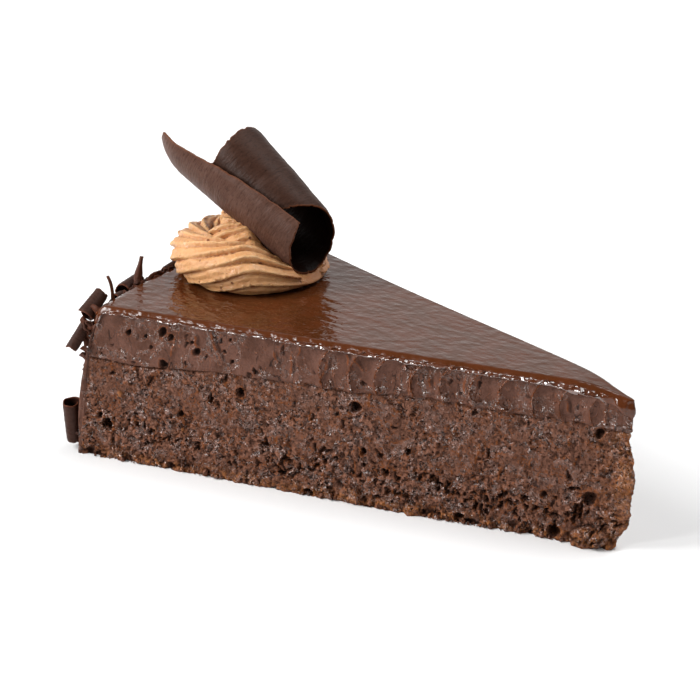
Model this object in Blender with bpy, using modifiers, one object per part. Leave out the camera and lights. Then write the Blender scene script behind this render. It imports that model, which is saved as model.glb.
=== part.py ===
"""A slice of chocolate torte: one of twelve cut from a round cake.

A dense cake layer carries a soft mousse layer that also coats the rim, under a thin poured glaze.
A piped rosette stands near the rim with one large chocolate curl pressed into it, and small
chocolate curls cling to the rim.

Metres, +Z up. The slice stands on z = 0 with its tip towards +X and its rim bulging towards -X.
The origin is on the base, under the middle of the slice's length.
"""

import math

import bmesh
import bpy
from mathutils import Vector

# ---- The whole cake, and the slice cut from it ----
CAKE_RADIUS = 0.125
SLICES_PER_CAKE = 12
SLICE_HEIGHT = 0.036
TIP_MISSING = 0.0016  # where the cut faces end, short of the cake's centre
TIP_BLUNT = 0.0009  # the blunt tip between them stands this far from the centre
CAKE_AXIS = Vector((CAKE_RADIUS / 2, 0, 0))
HALF_ANGLE = math.pi / SLICES_PER_CAKE
CUT_WAVE = 0.0004  # how far the hand-cut faces wander from a plane
TURN_STEPS = 120
JOIN_GAP = 0.0003  # kept between pieces that touch

# ---- Layers ----
GLAZE_THICKNESS = 0.0015
MOUSSE_AT_TIP = 0.0062
MOUSSE_AT_RIM = 0.0108
COAT_THICKNESS = 0.0012
RIM_FOOT = 0.1283  # radius of the rim at the base
RIM_FLARE = 0.0065  # how much further out the rim stands at the base than at the top
SHOULDER_RADIUS = 0.0033
GLAZE_FOOT = 0.0315  # height at which the glaze ends on the rim
TIP_SAG = 0.0022
TIP_SAG_LENGTH = 0.008

# ---- Rosette ----
ROSETTE_CENTRE = Vector((-0.0429, 0.0053, 0))
ROPE_RADIUS = 0.0059
RING_RADIUS = 0.0122
ROSETTE_START = math.radians(-130)
ROSETTE_TURNS = 1.87
ROSETTE_RIDGES = 10
RIDGE_DEPTH = 0.20
RIDGE_CLIMB = math.radians(430)  # how far the ridges climb round the rope in one turn
PRESSED_TURN = 1.2  # from here on the curl presses the ridges down again
PRESSED_ANGLE = math.radians(34)  # direction in which the curl presses on the cream
PRESSED_WIDTH = math.radians(92)
PRESSED_SHARE = 0.60
ROSETTE_VOXEL = 0.00047
ROSETTE_KEEP = 0.10  # share of the fused surface's faces that is kept

# ---- Large curl ----
CURL_START = Vector((-0.0277, 0.0076, SLICE_HEIGHT + 0.0107))  # its near mouth's centre
CURL_AXIS = Vector((-0.858, 0.050, 0.511)).normalized()
CURL_FRONT = Vector((0.4165, 0.6478, 0.637)).cross(CURL_AXIS).normalized()  # angle 90 of the roll
CURL_ACROSS = CURL_AXIS.cross(CURL_FRONT)  # angle 0 of the roll
CURL_THICKNESS = 0.0008
CURL_INNER_END = math.radians(485)
CURL_LENGTH = 0.0272
FLAP_LENGTH = 0.0404

# ---- Small curls on the rim ----
SHAVING_THICKNESS = 0.0005
SHAVING_STEPS = 12
FULL_ROLL = 345  # degrees: from here on a roll's two ends pass each other

CHOCOLATE = (0.110, 0.066, 0.050, 1)
COLOURS = {
    "cake": (0.105, 0.052, 0.038, 1),
    "mousse": (0.130, 0.066, 0.050, 1),
    "glaze": (0.085, 0.026, 0.010, 1),
    "cream": (0.560, 0.280, 0.130, 1),
    "curl": CHOCOLATE,
    "shaving": CHOCOLATE,
}
ROUGHNESS = {"cake": 0.75, "mousse": 0.5, "glaze": 0.12, "cream": 0.55, "curl": 0.42, "shaving": 0.42}


# ---- Helpers ----
def clear_scene():
    for old in list(bpy.data.objects):
        bpy.data.objects.remove(old, do_unlink=True)


def new_collection(name):
    made = bpy.data.collections.new(name)
    bpy.context.scene.collection.children.link(made)
    return made


def new_material(name):
    made = bpy.data.materials.new(name)
    made.use_nodes = True
    shader = made.node_tree.nodes["Principled BSDF"]
    shader.inputs["Base Color"].default_value = COLOURS[name]
    shader.inputs["Roughness"].default_value = ROUGHNESS[name]
    return made


def mesh_object(name, points, edges, faces, collection, material=None):
    mesh = bpy.data.meshes.new(name)
    mesh.from_pydata([tuple(p) for p in points], edges, faces)
    mesh.update()
    if material is not None:
        mesh.materials.append(material)
    made = bpy.data.objects.new(name, mesh)
    collection.objects.link(made)
    return made


def smoothstep(x):
    x = min(1.0, max(0.0, x))
    return x * x * (3 - 2 * x)


def grid_faces(rows, columns, wrap=False):
    """Quads between neighbouring rows of points, each row holding the same number of points."""
    faces = []
    for row in range(rows - 1):
        low, high = row * columns, (row + 1) * columns
        for here in range(columns if wrap else columns - 1):
            there = (here + 1) % columns
            faces.append((low + here, low + there, high + there, high + here))
    return faces


def end_caps(rows, columns):
    """Faces that close a tube's first and last row."""
    return [tuple(reversed(range(columns))), tuple(range((rows - 1) * columns, rows * columns))]


def outward_normals(made):
    """Turns every face of a closed mesh outwards."""
    work = bmesh.new()
    work.from_mesh(made.data)
    bmesh.ops.recalc_face_normals(work, faces=work.faces)
    work.to_mesh(made.data)
    work.free()


def as_cutter(made):
    made.hide_render = True
    made.display_type = "WIRE"
    return made


def add_boolean(made, operation, other):
    cut = made.modifiers.new(operation.lower(), "BOOLEAN")
    cut.operation = operation
    cut.solver = "EXACT"
    cut.object = other


# ---- The turned layers ----
def top_height(radius):
    """Height of the finished cake's top at this radius. It sags a little towards the tip."""
    return SLICE_HEIGHT - TIP_SAG * math.exp(-((radius / TIP_SAG_LENGTH) ** 2))


def mousse_thickness(radius):
    return MOUSSE_AT_TIP + (MOUSSE_AT_RIM - MOUSSE_AT_TIP) * radius / CAKE_RADIUS


def rim_radius(height):
    """Radius of the rim's outside at this height: it leans in more and more towards the top."""
    return RIM_FOOT - RIM_FLARE * (height / SLICE_HEIGHT) ** 2


def rim_lean(height):
    """How far the rim's outside draws in per metre of height."""
    return 2 * RIM_FLARE * height / SLICE_HEIGHT**2


def top_profile(inset, depth, steps=7):
    """Points (radius, height) from the axis over the top and round the shoulder, offset inwards and down."""
    low = SLICE_HEIGHT - SHOULDER_RADIUS
    edge = rim_radius(low) - SHOULDER_RADIUS
    radii = [edge * (i / steps) ** 1.5 for i in range(steps + 1)]
    flat = [(radius, top_height(radius) - depth) for radius in radii]
    bend = SHOULDER_RADIUS - inset
    turn = [math.radians(90 - 76 * i / 4) for i in range(1, 5)]
    return flat + [(edge + bend * math.cos(a), low - (depth - inset) + bend * math.sin(a)) for a in turn]


def turned(name, profile, collection, material):
    """The round layer that a half profile in the XZ plane sweeps about the cake's axis."""
    points = [(r, 0, z) for r, z in profile]
    made = mesh_object(name, points, [(i, i + 1) for i in range(len(points) - 1)], [], collection, material)
    made.location = CAKE_AXIS
    screw = made.modifiers.new("turn", "SCREW")
    screw.steps = screw.render_steps = TURN_STEPS
    screw.use_merge_vertices = True
    screw.merge_threshold = 0.00005
    screw.use_smooth_shade = False
    return made


def cake_profile():
    """The dense layer's top is level with the bottom of the mousse, thicker towards the tip."""
    radii = [0, 0.012, 0.045, 0.085, rim_radius(SLICE_HEIGHT * 0.7) - COAT_THICKNESS]
    top = [(r, top_height(r) - GLAZE_THICKNESS - mousse_thickness(r)) for r in radii]
    return top + [(rim_radius(0) - COAT_THICKNESS, 0), (0, 0)]


def mousse_profile():
    """Over the dense layer, round the shoulder and down the rim to the base."""
    inset = GLAZE_THICKNESS + JOIN_GAP
    step = GLAZE_FOOT - JOIN_GAP
    outside = top_profile(inset, inset) + [(rim_radius(step) - inset, step)]
    wall = [(rim_radius(z), z) for z in (step - 0.0012, 0.7 * step, 0.4 * step, 0)]
    inner_foot = (rim_radius(0) - COAT_THICKNESS + JOIN_GAP, 0)
    underside = [(r + (JOIN_GAP if r > 0.1 else 0), z + JOIN_GAP) for r, z in cake_profile()[:5]]
    return outside + wall + [inner_foot] + underside[::-1]


def glaze_profile():
    """A skin of even thickness with a thin rounded lip on the rim."""
    edge = rim_radius(GLAZE_FOOT)
    lip = [
        (edge - 0.0001, GLAZE_FOOT + 0.0012),
        (edge - GLAZE_THICKNESS * 0.45, GLAZE_FOOT),
        (edge - GLAZE_THICKNESS, GLAZE_FOOT + 0.0004),
    ]
    return top_profile(0, 0) + lip + top_profile(GLAZE_THICKNESS, GLAZE_THICKNESS)[::-1]


def cut_outline(steps=9):
    """The slice in plan: along the front cut to the blunt tip, and back along the other cut."""
    reach = CAKE_RADIUS + 0.015

    def side(sign, share):
        along = TIP_MISSING + (reach - TIP_MISSING) * share
        wander = CUT_WAVE * math.sin(7.3 * share + sign) * (1 - (1 - share) ** 6)
        across = sign * HALF_ANGLE
        return (
            -along * math.cos(across) - sign * wander * math.sin(across),
            along * math.sin(across) + sign * wander * math.cos(across),
        )

    shares = [i / (steps - 1) for i in range(steps)]
    front = [side(-1, s) for s in reversed(shares)]
    return front + [(-TIP_BLUNT, 0)] + [side(1, s) for s in shares]


def wedge_knife(collection):
    """The prism that is kept of each round layer."""
    work = bmesh.new()
    ring = [work.verts.new((x, y, -0.01)) for x, y in cut_outline()]
    made = bmesh.ops.extrude_face_region(work, geom=[work.faces.new(ring)])
    rise = [v for v in made["geom"] if isinstance(v, bmesh.types.BMVert)]
    bmesh.ops.translate(work, verts=rise, vec=(0, 0, SLICE_HEIGHT + 0.02))
    bmesh.ops.recalc_face_normals(work, faces=work.faces)
    mesh = bpy.data.meshes.new("wedge_knife")
    work.to_mesh(mesh)
    work.free()
    knife = bpy.data.objects.new("wedge_knife", mesh)
    knife.location = CAKE_AXIS
    collection.objects.link(knife)
    return as_cutter(knife)


def build_layers(parts, knife, materials):
    for name, profile, finish in (
        ("cake_layer", cake_profile(), "cake"),
        ("mousse_layer", mousse_profile(), "mousse"),
        ("glaze_layer", glaze_profile(), "glaze"),
    ):
        layer = turned(name, profile, parts, materials[finish])
        add_boolean(layer, "INTERSECT", knife)


# ---- Rosette ----
def rope_centre(turn):
    """Middle of the piped rope after this many turns, and the rope's radius there.

    It winds outwards from the middle, once round at full width, then up and inwards to a thin tail.
    """
    tail = smoothstep((turn - 1.42) / 0.45)
    heart = 1 - smoothstep(turn / 0.6)
    ring = 0.0034 + (RING_RADIUS - 0.0034) * smoothstep(turn / 0.78) - 0.0067 * tail
    angle = ROSETTE_START + math.tau * turn
    height = 0.0050 - 0.0009 * max(0.0, math.cos(angle - math.radians(140))) + 0.0070 * tail + 0.0010 * heart
    thick = ROPE_RADIUS * (1 - 0.50 * tail + 0.22 * heart)
    return Vector((ring * math.cos(angle), ring * math.sin(angle), height)), thick


def pressed_height(x, y, height):
    """The cream lies lower on the side where the curl presses on it."""
    away = abs(math.atan2(y, x) - PRESSED_ANGLE)
    reach = smoothstep((PRESSED_WIDTH - away) / PRESSED_WIDTH * 1.35) * smoothstep(math.hypot(x, y) / 0.007)
    return height * (1 - PRESSED_SHARE * reach)


def ridge(angle):
    """Radius factor of a star nozzle's rope: round crests with sharp grooves between them."""
    return 1 - RIDGE_DEPTH * (1 - abs(math.cos(ROSETTE_RIDGES * angle / 2)))


def ridge_twist(turn):
    pressed = max(0.0, turn - PRESSED_TURN)
    return RIDGE_CLIMB * (turn - 1.5 * pressed**2 / (pressed + 0.08))


def rope_points(rings, around):
    points = []
    for i in range(rings):
        turn = ROSETTE_TURNS * i / (rings - 1)
        centre, thick = rope_centre(turn)
        ahead = (rope_centre(turn + 0.01)[0] - rope_centre(turn - 0.01)[0]).normalized()
        across = ahead.cross(Vector((0, 0, 1))).normalized()
        upward = across.cross(ahead)
        for j in range(around):
            angle = math.tau * j / around
            reach = thick * ridge(angle - ridge_twist(turn))
            point = centre + reach * (math.cos(angle) * across + math.sin(angle) * upward)
            points.append((point.x, point.y, pressed_height(point.x, point.y, max(point.z, 0.0))))
    return points


def build_rosette(parts, seat, material):
    """A ridged rope wound up into a small mound, fused to one body and seated under the curl."""
    rings, around = 150, ROSETTE_RIDGES * 6
    faces = grid_faces(rings, around, wrap=True) + end_caps(rings, around)
    rosette = mesh_object("rosette", rope_points(rings, around), [], faces, parts, material)
    rosette.location = ROSETTE_CENTRE + Vector((0, 0, SLICE_HEIGHT + JOIN_GAP))
    outward_normals(rosette)
    fuse = rosette.modifiers.new("fuse", "REMESH")
    fuse.mode = "VOXEL"
    fuse.voxel_size = ROSETTE_VOXEL
    thin = rosette.modifiers.new("thin", "DECIMATE")
    thin.ratio = ROSETTE_KEEP
    add_boolean(rosette, "DIFFERENCE", seat)


# ---- Large curl ----
def curl_free_edge(along):
    """Angle of the sheet's free outer edge: the roll opens towards its far end."""
    return math.radians(85 + 900 * along + 13000 * along**2)


def curl_radius(angle, along):
    """The roll's radius: an outer turn that widens along the roll, drawing in to a tighter inner turn."""
    outer = 0.0075 + 0.090 * along - 0.0048 * smoothstep((along - 0.033) / 0.016)
    inner = 0.0067 + 0.054 * along
    share = smoothstep((angle - math.radians(190)) / math.radians(170))
    tighter = 0.0009 * max(0.0, angle - math.tau) / math.radians(120)
    return outer + (inner - outer) * share - tighter


def curl_near_edge(angle):
    """Where along the roll its near edge lies: lowest at the underside, further along inside the roll."""
    turn = math.degrees(angle)
    if turn < 240:
        return -0.0041 + 0.0048 * ((240 - turn) / 153) ** 1.6
    return -0.0041 + 0.0135 * ((turn - 240) / 250) ** 1.3


def curl_far_edge(angle):
    """Where along the roll its far edge lies: the free outer turn reaches furthest."""
    turn = math.degrees(angle)
    flap = (FLAP_LENGTH - CURL_LENGTH) * smoothstep((345 - turn) / 195)
    return CURL_LENGTH + flap + 0.0008 * math.sin((turn - 340) / 32)


def curl_point(angle, along, extra=0.0):
    reach = curl_radius(angle, along) + extra
    around = math.cos(angle) * CURL_ACROSS + math.sin(angle) * CURL_FRONT
    return CURL_START + along * CURL_AXIS + reach * around


def curl_grid(turns, rows):
    points = []
    for i in range(rows):
        share = i / (rows - 1)
        for j in range(turns):
            free = curl_free_edge(FLAP_LENGTH * share)
            angle = free + (CURL_INNER_END - free) * j / (turns - 1)
            along = curl_near_edge(angle) + (curl_far_edge(angle) - curl_near_edge(angle)) * share
            points.append(curl_point(angle, along))
    return points


def build_curl(parts, material):
    turns, rows = 38, 9
    curl = mesh_object("large_curl", curl_grid(turns, rows), [], grid_faces(rows, turns), parts, material)
    solid = curl.modifiers.new("thickness", "SOLIDIFY")
    solid.thickness = CURL_THICKNESS
    solid.offset = 0
    return curl


def curl_seat(collection):
    """What the curl takes out of the rosette: its outer turn, closed to a plug, with a gap all round."""
    rows, around = 9, 32
    points = []
    for i in range(rows):
        for j in range(around):
            angle = math.radians(90) + math.tau * j / around
            start, end = curl_near_edge(angle) - 0.006, curl_far_edge(angle) + 0.002
            along = start + (end - start) * i / (rows - 1)
            points.append(curl_point(angle, along, CURL_THICKNESS / 2 + JOIN_GAP))
    faces = grid_faces(rows, around, wrap=True) + end_caps(rows, around)
    seat = mesh_object("curl_seat", points, [], faces, collection)
    outward_normals(seat)
    return as_cutter(seat)


# ---- Small curls on the rim ----
# name: degrees round the rim from the slice's middle, height, tilt from level, lean away from the rim,
# length, outer radius, where the roll starts and how far it turns (degrees)
RIM_CURLS = {
    "rim_curl_01": (-13.2, 0.0345, 38, 0, 0.0068, 0.0019, 60, 330),
    "rim_curl_02": (-14.9, 0.0281, 50, -4, 0.0070, 0.0014, 20, 335),
    "rim_curl_03": (-13.9, 0.0065, 98, 3, 0.0105, 0.0016, 200, 330),
    "rim_curl_04": (-8.8, 0.0336, -4, 0, 0.0036, 0.0013, 110, 350),
    "rim_curl_05": (-5.8, 0.0330, 9, 0, 0.0065, 0.0022, -50, 210),
    "rim_curl_06": (-2.8, 0.0337, 5, 0, 0.0055, 0.0010, 30, 320),
    "rim_curl_07": (0.0, 0.0346, 14, 0, 0.0052, 0.0013, 80, 340),
    "rim_curl_08": (-8.6, 0.0215, 58, 0, 0.0105, 0.0019, 10, 360),
    "rim_curl_09": (-4.0, 0.0265, -30, 0, 0.0112, 0.0017, 150, 390),
    "rim_curl_10": (0.4, 0.0215, 62, 0, 0.0100, 0.0021, 40, 320),
    "rim_curl_11": (4.4, 0.0315, -20, 0, 0.0108, 0.0019, 90, 370),
    "rim_curl_12": (9.6, 0.0340, 12, 0, 0.0092, 0.0017, 0, 400),
    "rim_curl_13": (12.4, 0.0255, 55, 0, 0.0094, 0.0020, 70, 340),
    "rim_curl_14": (6.9, 0.0200, -48, 0, 0.0104, 0.0018, 160, 380),
    "rim_curl_15": (-6.2, 0.0098, -16, 0, 0.0090, 0.0019, 30, 330),
    "rim_curl_16": (10.6, 0.0102, 26, 0, 0.0104, 0.0018, 120, 390),
    "rim_curl_17": (3.2, 0.0085, 6, 0, 0.0088, 0.0016, 50, 400),
}


def rim_place(degrees, height):
    """A point on the rim's outside with its directions along the rim and outwards."""
    angle = math.radians(degrees)
    outward = Vector((-math.cos(angle), math.sin(angle), 0))
    along = Vector((math.sin(angle), math.cos(angle), 0))
    return CAKE_AXIS + outward * rim_radius(height) + Vector((0, 0, height)), along, outward


def roll_tightening(radius, turn):
    """How much nearer the roll's axis its inner end is. Where the ends pass each other they stay apart."""
    if turn > FULL_ROLL:
        return (SHAVING_THICKNESS + JOIN_GAP) * turn / 360
    return 0.36 * radius * max(0.0, turn / 360 - 0.4)


def build_rim_curl(name, row, parts, material):
    """A thin strip of chocolate rolled about its own long axis, lying against the rim."""
    degrees, height, tilt, lean, length, radius, start, turn = row
    place, along, outward = rim_place(degrees, height)
    climb = (Vector((0, 0, 1)) - rim_lean(height) * outward).normalized()
    slope = math.radians(tilt)
    axis = math.cos(slope) * along + math.sin(slope) * climb
    axis = (axis + math.tan(math.radians(lean)) * outward).normalized()
    side = axis.cross(outward).normalized()
    away = side.cross(axis)
    tight = roll_tightening(radius, turn)
    stand_off = radius + SHAVING_THICKNESS / 2 + JOIN_GAP
    stand_off += length * abs(math.sin(math.radians(lean))) / 2
    stand_off += (length * math.cos(slope)) ** 2 / 8 / CAKE_RADIUS
    points = []
    for shift in (-length / 2, length / 2):
        for j in range(SHAVING_STEPS):
            share = j / (SHAVING_STEPS - 1)
            angle = math.radians(start + turn * share)
            reach = radius - tight * share
            around = math.cos(angle) * side + math.sin(angle) * away
            points.append(place + stand_off * outward + (1 - 0.12 * share) * shift * axis + reach * around)
    curl = mesh_object(name, points, [], grid_faces(2, SHAVING_STEPS), parts, material)
    solid = curl.modifiers.new("thickness", "SOLIDIFY")
    solid.thickness = SHAVING_THICKNESS
    solid.offset = 0


def main():
    clear_scene()
    parts = new_collection("chocolate_cake_slice")
    cutters = new_collection("cutters")
    materials = {name: new_material(name) for name in COLOURS}
    build_layers(parts, wedge_knife(cutters), materials)
    build_rosette(parts, curl_seat(cutters), materials["cream"])
    build_curl(parts, materials["curl"])
    for name, row in RIM_CURLS.items():
        build_rim_curl(name, row, parts, materials["shaving"])


main()
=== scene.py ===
"""The looks of a slice of chocolate torte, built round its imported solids.

Every food layer, the piped rosette, the large curl and each curl on the rim is modelled again as a
fine mesh in the place of its solid. The cut faces carry their crumb, air holes and knife smears as
real relief, and small flakes and crumbs are added at their true size. Everything is in metres.
"""

import itertools
import logging
import math
from collections.abc import Sequence
from dataclasses import dataclass, field
from enum import Enum

import bmesh
import bpy
import numpy as np
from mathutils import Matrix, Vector


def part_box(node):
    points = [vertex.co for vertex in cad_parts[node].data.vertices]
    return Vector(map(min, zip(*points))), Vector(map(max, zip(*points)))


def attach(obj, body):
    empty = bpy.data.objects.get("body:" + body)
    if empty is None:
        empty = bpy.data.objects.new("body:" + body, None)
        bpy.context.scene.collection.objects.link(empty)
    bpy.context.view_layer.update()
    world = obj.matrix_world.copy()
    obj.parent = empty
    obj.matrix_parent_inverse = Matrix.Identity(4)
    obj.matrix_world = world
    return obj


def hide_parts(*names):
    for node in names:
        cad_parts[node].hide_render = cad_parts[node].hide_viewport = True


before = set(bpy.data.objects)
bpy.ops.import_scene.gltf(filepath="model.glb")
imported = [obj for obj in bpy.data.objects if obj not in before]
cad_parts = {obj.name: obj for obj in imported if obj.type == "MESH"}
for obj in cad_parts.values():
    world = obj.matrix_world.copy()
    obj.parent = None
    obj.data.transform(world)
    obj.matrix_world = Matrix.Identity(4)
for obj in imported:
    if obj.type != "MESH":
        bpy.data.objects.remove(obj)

Triple = tuple[float, float, float]
Colour = Triple
Socket = bpy.types.NodeSocket
Material = bpy.types.Material

log = logging.getLogger("slice")
ROOT_BODY = "root"
MILLIMETRE = 0.001
TIP_BLUNT = 0.0009  # from the whole cake's axis to the slice's nose
STATIONS = 440  # places along each cut
SHAVINGS = 17  # small curls on the rim
SHAVING_SEEDS = 100
NOISE_SCALE = 1.6  # brings gradient noise to about -1 to 1
TABLE = 256  # how many slopes the noise draws from


class Slot(Enum):
    """The record's material slots."""

    CAKE = "cake"
    MOUSSE = "mousse"
    GLAZE = "glaze"
    CREAM = "cream"
    CHOCOLATE = "chocolate"


# ---- Numbers over arrays ----
def smooth(x: np.ndarray | float, low: float = 0.0, high: float = 1.0) -> np.ndarray:
    """Rises smoothly from 0 where x is low to 1 where it is high."""
    share = np.clip((np.asarray(x, float) - low) / (high - low), 0.0, 1.0)
    return share * share * (3 - 2 * share)


def bump(x: np.ndarray) -> np.ndarray:
    """A bell of height 1 about 0."""
    return np.exp(-np.square(x))


def unit(vectors: np.ndarray) -> np.ndarray:
    """The vectors of the last axis at length 1."""
    return vectors / np.maximum(np.linalg.norm(vectors, axis=-1, keepdims=True), 1e-12)


class SmoothNoise:
    """Seeded gradient noise for arrays of points."""

    def __init__(self, seed: int) -> None:
        """Shuffles the noise's own table.

        Args:
            seed: The same seed gives the same noise.
        """
        draw = np.random.default_rng(seed)
        self.order = np.tile(draw.permutation(TABLE), 2)
        self.slopes = unit(draw.normal(size=(TABLE, 3)))

    def at(self, points: np.ndarray, size: float | Sequence[float]) -> np.ndarray:
        """The noise at some points.

        Args:
            points: Points, three numbers in the last axis.
            size: How large one lump is, the same in every direction or one for each axis.

        Returns:
            Values of about -1 to 1.
        """
        spot = points / np.asarray(size, float)
        cell = np.floor(spot).astype(int)
        part = spot - cell
        ease = part**3 * (part * (part * 6 - 15) + 10)
        total = np.zeros(points.shape[:-1])
        for corner in itertools.product((0, 1), repeat=3):
            key = np.zeros(points.shape[:-1], int)
            share = np.ones(points.shape[:-1])
            for axis, step in enumerate(corner):
                key = self.order[key + (cell[..., axis] + step) % TABLE]
                share = share * (ease[..., axis] if step else 1 - ease[..., axis])
            total += share * ((part - np.array(corner)) * self.slopes[key]).sum(-1)
        return total * NOISE_SCALE

    def layered(
        self, points: np.ndarray, size: float | Sequence[float], layers: int, keep: float = 0.5
    ) -> np.ndarray:
        """Noise with finer and weaker noise on top of it.

        Args:
            points: Points, three numbers in the last axis.
            size: The coarsest layer's lump size.
            layers: How many layers.
            keep: Strength of each layer against the one before.

        Returns:
            Values of about -1 to 1.
        """
        sizes = np.asarray(size, float)
        parts = [self.at(points + 0.37 * n, sizes / 2**n) * keep**n for n in range(layers)]
        return sum(parts) / sum(keep**n for n in range(layers))


# ---- Meshes ----
def mesh_piece(
    name: str,
    points: np.ndarray,
    faces: Sequence[Sequence[int]],
    marks: dict[str, np.ndarray] | None = None,
) -> bpy.types.Object:
    """A smooth mesh object in the scene, its faces turned outwards.

    Args:
        name: The piece's name.
        points: Its points, one row each.
        faces: Its faces, as indices into points.
        marks: Named values, or vectors, for each point, which its finish reads.

    Returns:
        The object.
    """
    mesh = bpy.data.meshes.new(name)
    mesh.from_pydata(points.tolist(), [], [tuple(f) for f in faces])
    for mark, values in (marks or {}).items():
        kind, key = ("FLOAT", "value") if values.ndim == 1 else ("FLOAT_VECTOR", "vector")
        mesh.attributes.new(mark, kind, "POINT").data.foreach_set(key, values.astype(np.float32).ravel())
    work = bmesh.new()
    work.from_mesh(mesh)
    bmesh.ops.recalc_face_normals(work, faces=work.faces)
    work.to_mesh(mesh)
    work.free()
    mesh.shade_smooth()
    piece = bpy.data.objects.new(name, mesh)
    bpy.context.scene.collection.objects.link(piece)
    return piece


def vectors_of(mesh: bpy.types.Mesh, key: str) -> np.ndarray:
    """One vector for each of a mesh's points.

    Args:
        mesh: The mesh.
        key: "co" for the points themselves, "normal" for their normals.

    Returns:
        The vectors, one row each.
    """
    flat = np.empty(len(mesh.vertices) * 3, np.float32)
    mesh.vertices.foreach_get(key, flat)
    return flat.reshape(-1, 3).astype(float)


def tube_faces(rings: int, around: int) -> list[list[int]]:
    """Faces of a tube with a cap at each end.

    Args:
        rings: How many rings of points it has.
        around: How many points a ring has.

    Returns:
        The faces, ring by ring, then the caps.
    """
    index = np.arange(rings * around).reshape(rings, around)
    ahead = np.roll(index, -1, axis=1)
    quads = np.stack([index[:-1], ahead[:-1], ahead[1:], index[1:]], -1).reshape(-1, 4).tolist()
    return quads + [index[0, ::-1].tolist(), index[-1].tolist()]


def sheet_marks(
    inside: Sequence[np.ndarray], lip: np.ndarray, grain: np.ndarray
) -> dict[str, np.ndarray]:
    """The marks that a chocolate sheet's finish reads.

    Args:
        inside: How shadowed each of the sheet's two sides is.
        lip: 1 along its broken edges.
        grain: Its places laid flat, along which the scraped lines run.

    Returns:
        The marks of both sides, by name.
    """
    return {
        "inside": np.concatenate([side.ravel() for side in inside]),
        "lip": np.tile(lip.ravel(), 2),
        "grain": np.tile(grain.reshape(-1, 3), (2, 1)),
    }


def move_points(mesh: bpy.types.Mesh, points: np.ndarray) -> None:
    """Puts a mesh's points in new places."""
    mesh.vertices.foreach_set("co", points.astype(np.float32).ravel())
    mesh.update()


def baked(piece: bpy.types.Object) -> None:
    """Applies a piece's modifiers to its mesh.

    Args:
        piece: The piece.
    """
    made = bpy.data.meshes.new_from_object(piece.evaluated_get(bpy.context.evaluated_depsgraph_get()))
    piece.modifiers.clear()
    piece.data = made


def seat_piece(piece: bpy.types.Object, slot: Slot, material: Material, *nodes: str) -> None:
    """Gives a finished piece its body and material, and hides the solids that it stands for.

    Args:
        piece: The piece.
        slot: Not used.
        material: Its finish.
        nodes: The solids that it stands for, if any.
    """
    piece.data.materials.clear()
    piece.data.materials.append(material)
    piece.data.shade_smooth()
    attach(piece, ROOT_BODY)
    if nodes:
        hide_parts(*nodes)
    triangles = sum(len(p.vertices) - 2 for p in piece.data.polygons)
    log.info("%s stands for %s: %d triangles", piece.name, ", ".join(nodes) or "nothing", triangles)


class SheetMesh:
    """A thin sheet with two sides and a closed edge, from a grid of middle points."""

    def __init__(self, middle: np.ndarray, thickness: np.ndarray) -> None:
        """Offsets the grid both ways along its normals.

        Args:
            middle: Points, rows by columns by three.
            thickness: The sheet's thickness at each point.
        """
        along = np.gradient(middle, axis=0)
        across = np.gradient(middle, axis=1)
        self.normal = unit(np.cross(along, across))
        self.rows, self.columns = middle.shape[:2]
        half = thickness[..., None] / 2
        self.points = np.concatenate(
            [(middle + self.normal * half).reshape(-1, 3), (middle - self.normal * half).reshape(-1, 3)]
        )

    def faces(self) -> list[tuple[int, ...]]:
        """The faces of both sides and of the edge all round.

        Returns:
            The faces, as indices into the sheet's points.
        """
        rows, columns = self.rows, self.columns
        index = np.arange(rows * columns).reshape(rows, columns)
        corners = [index[:-1, :-1], index[:-1, 1:], index[1:, 1:], index[1:, :-1]]
        quads = np.stack(corners, -1).reshape(-1, 4)
        edge = np.concatenate([index[0, :], index[1:, -1], index[-1, -2::-1], index[-2:0:-1, 0]])
        ahead = np.roll(edge, -1)
        under = rows * columns
        band = np.stack([edge, ahead, ahead + under, edge + under], -1)
        return [tuple(f) for f in np.concatenate([quads, quads[:, ::-1] + under, band]).tolist()]


# ---- Shader expressions ----
class Number:
    """One value of a shader graph, with arithmetic."""

    def __init__(self, graph: "Graph", socket: Socket) -> None:
        """Wraps an output socket of a graph."""
        self.graph = graph
        self.socket = socket

    def math(
        self, operation: str, *values: "Number | float", first: "Number | float | None" = None
    ) -> "Number":
        """Adds one Math node.

        Args:
            operation: The node's operation.
            values: What follows this value.
            first: What stands before this value, for reflected forms.

        Returns:
            The node's result.
        """
        given = ([] if first is None else [first]) + [self, *values]
        node = self.graph.add("ShaderNodeMath", {"operation": operation}, dict(enumerate(given)))
        return Number(self.graph, node.outputs[0])

    def __add__(self, other: "Number | float") -> "Number":
        """This plus other."""
        return self.math("ADD", other)

    def __mul__(self, other: "Number | float") -> "Number":
        """This times other."""
        return self.math("MULTIPLY", other)

    def __sub__(self, other: "Number | float") -> "Number":
        """This less other."""
        return self.math("SUBTRACT", other)

    def __rsub__(self, other: "Number | float") -> "Number":
        """Other less this."""
        return self.math("SUBTRACT", first=other)

    def clipped(self) -> "Number":
        """This, kept from 0 to 1."""
        return self.math("MAXIMUM", 0.0).math("MINIMUM", 1.0)

    def stepped(self, low: float, high: float) -> "Number":
        """A smooth rise from 0 to 1.

        Args:
            low: Where it is 0.
            high: Where it is 1, which may be the lower of the two.

        Returns:
            The risen value.
        """
        node = self.graph.add(
            "ShaderNodeMapRange",
            {"interpolation_type": "SMOOTHSTEP"},
            {"Value": self, "From Min": low, "From Max": high},
        )
        return Number(self.graph, node.outputs["Result"])

    __radd__ = __add__
    __rmul__ = __mul__


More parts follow.
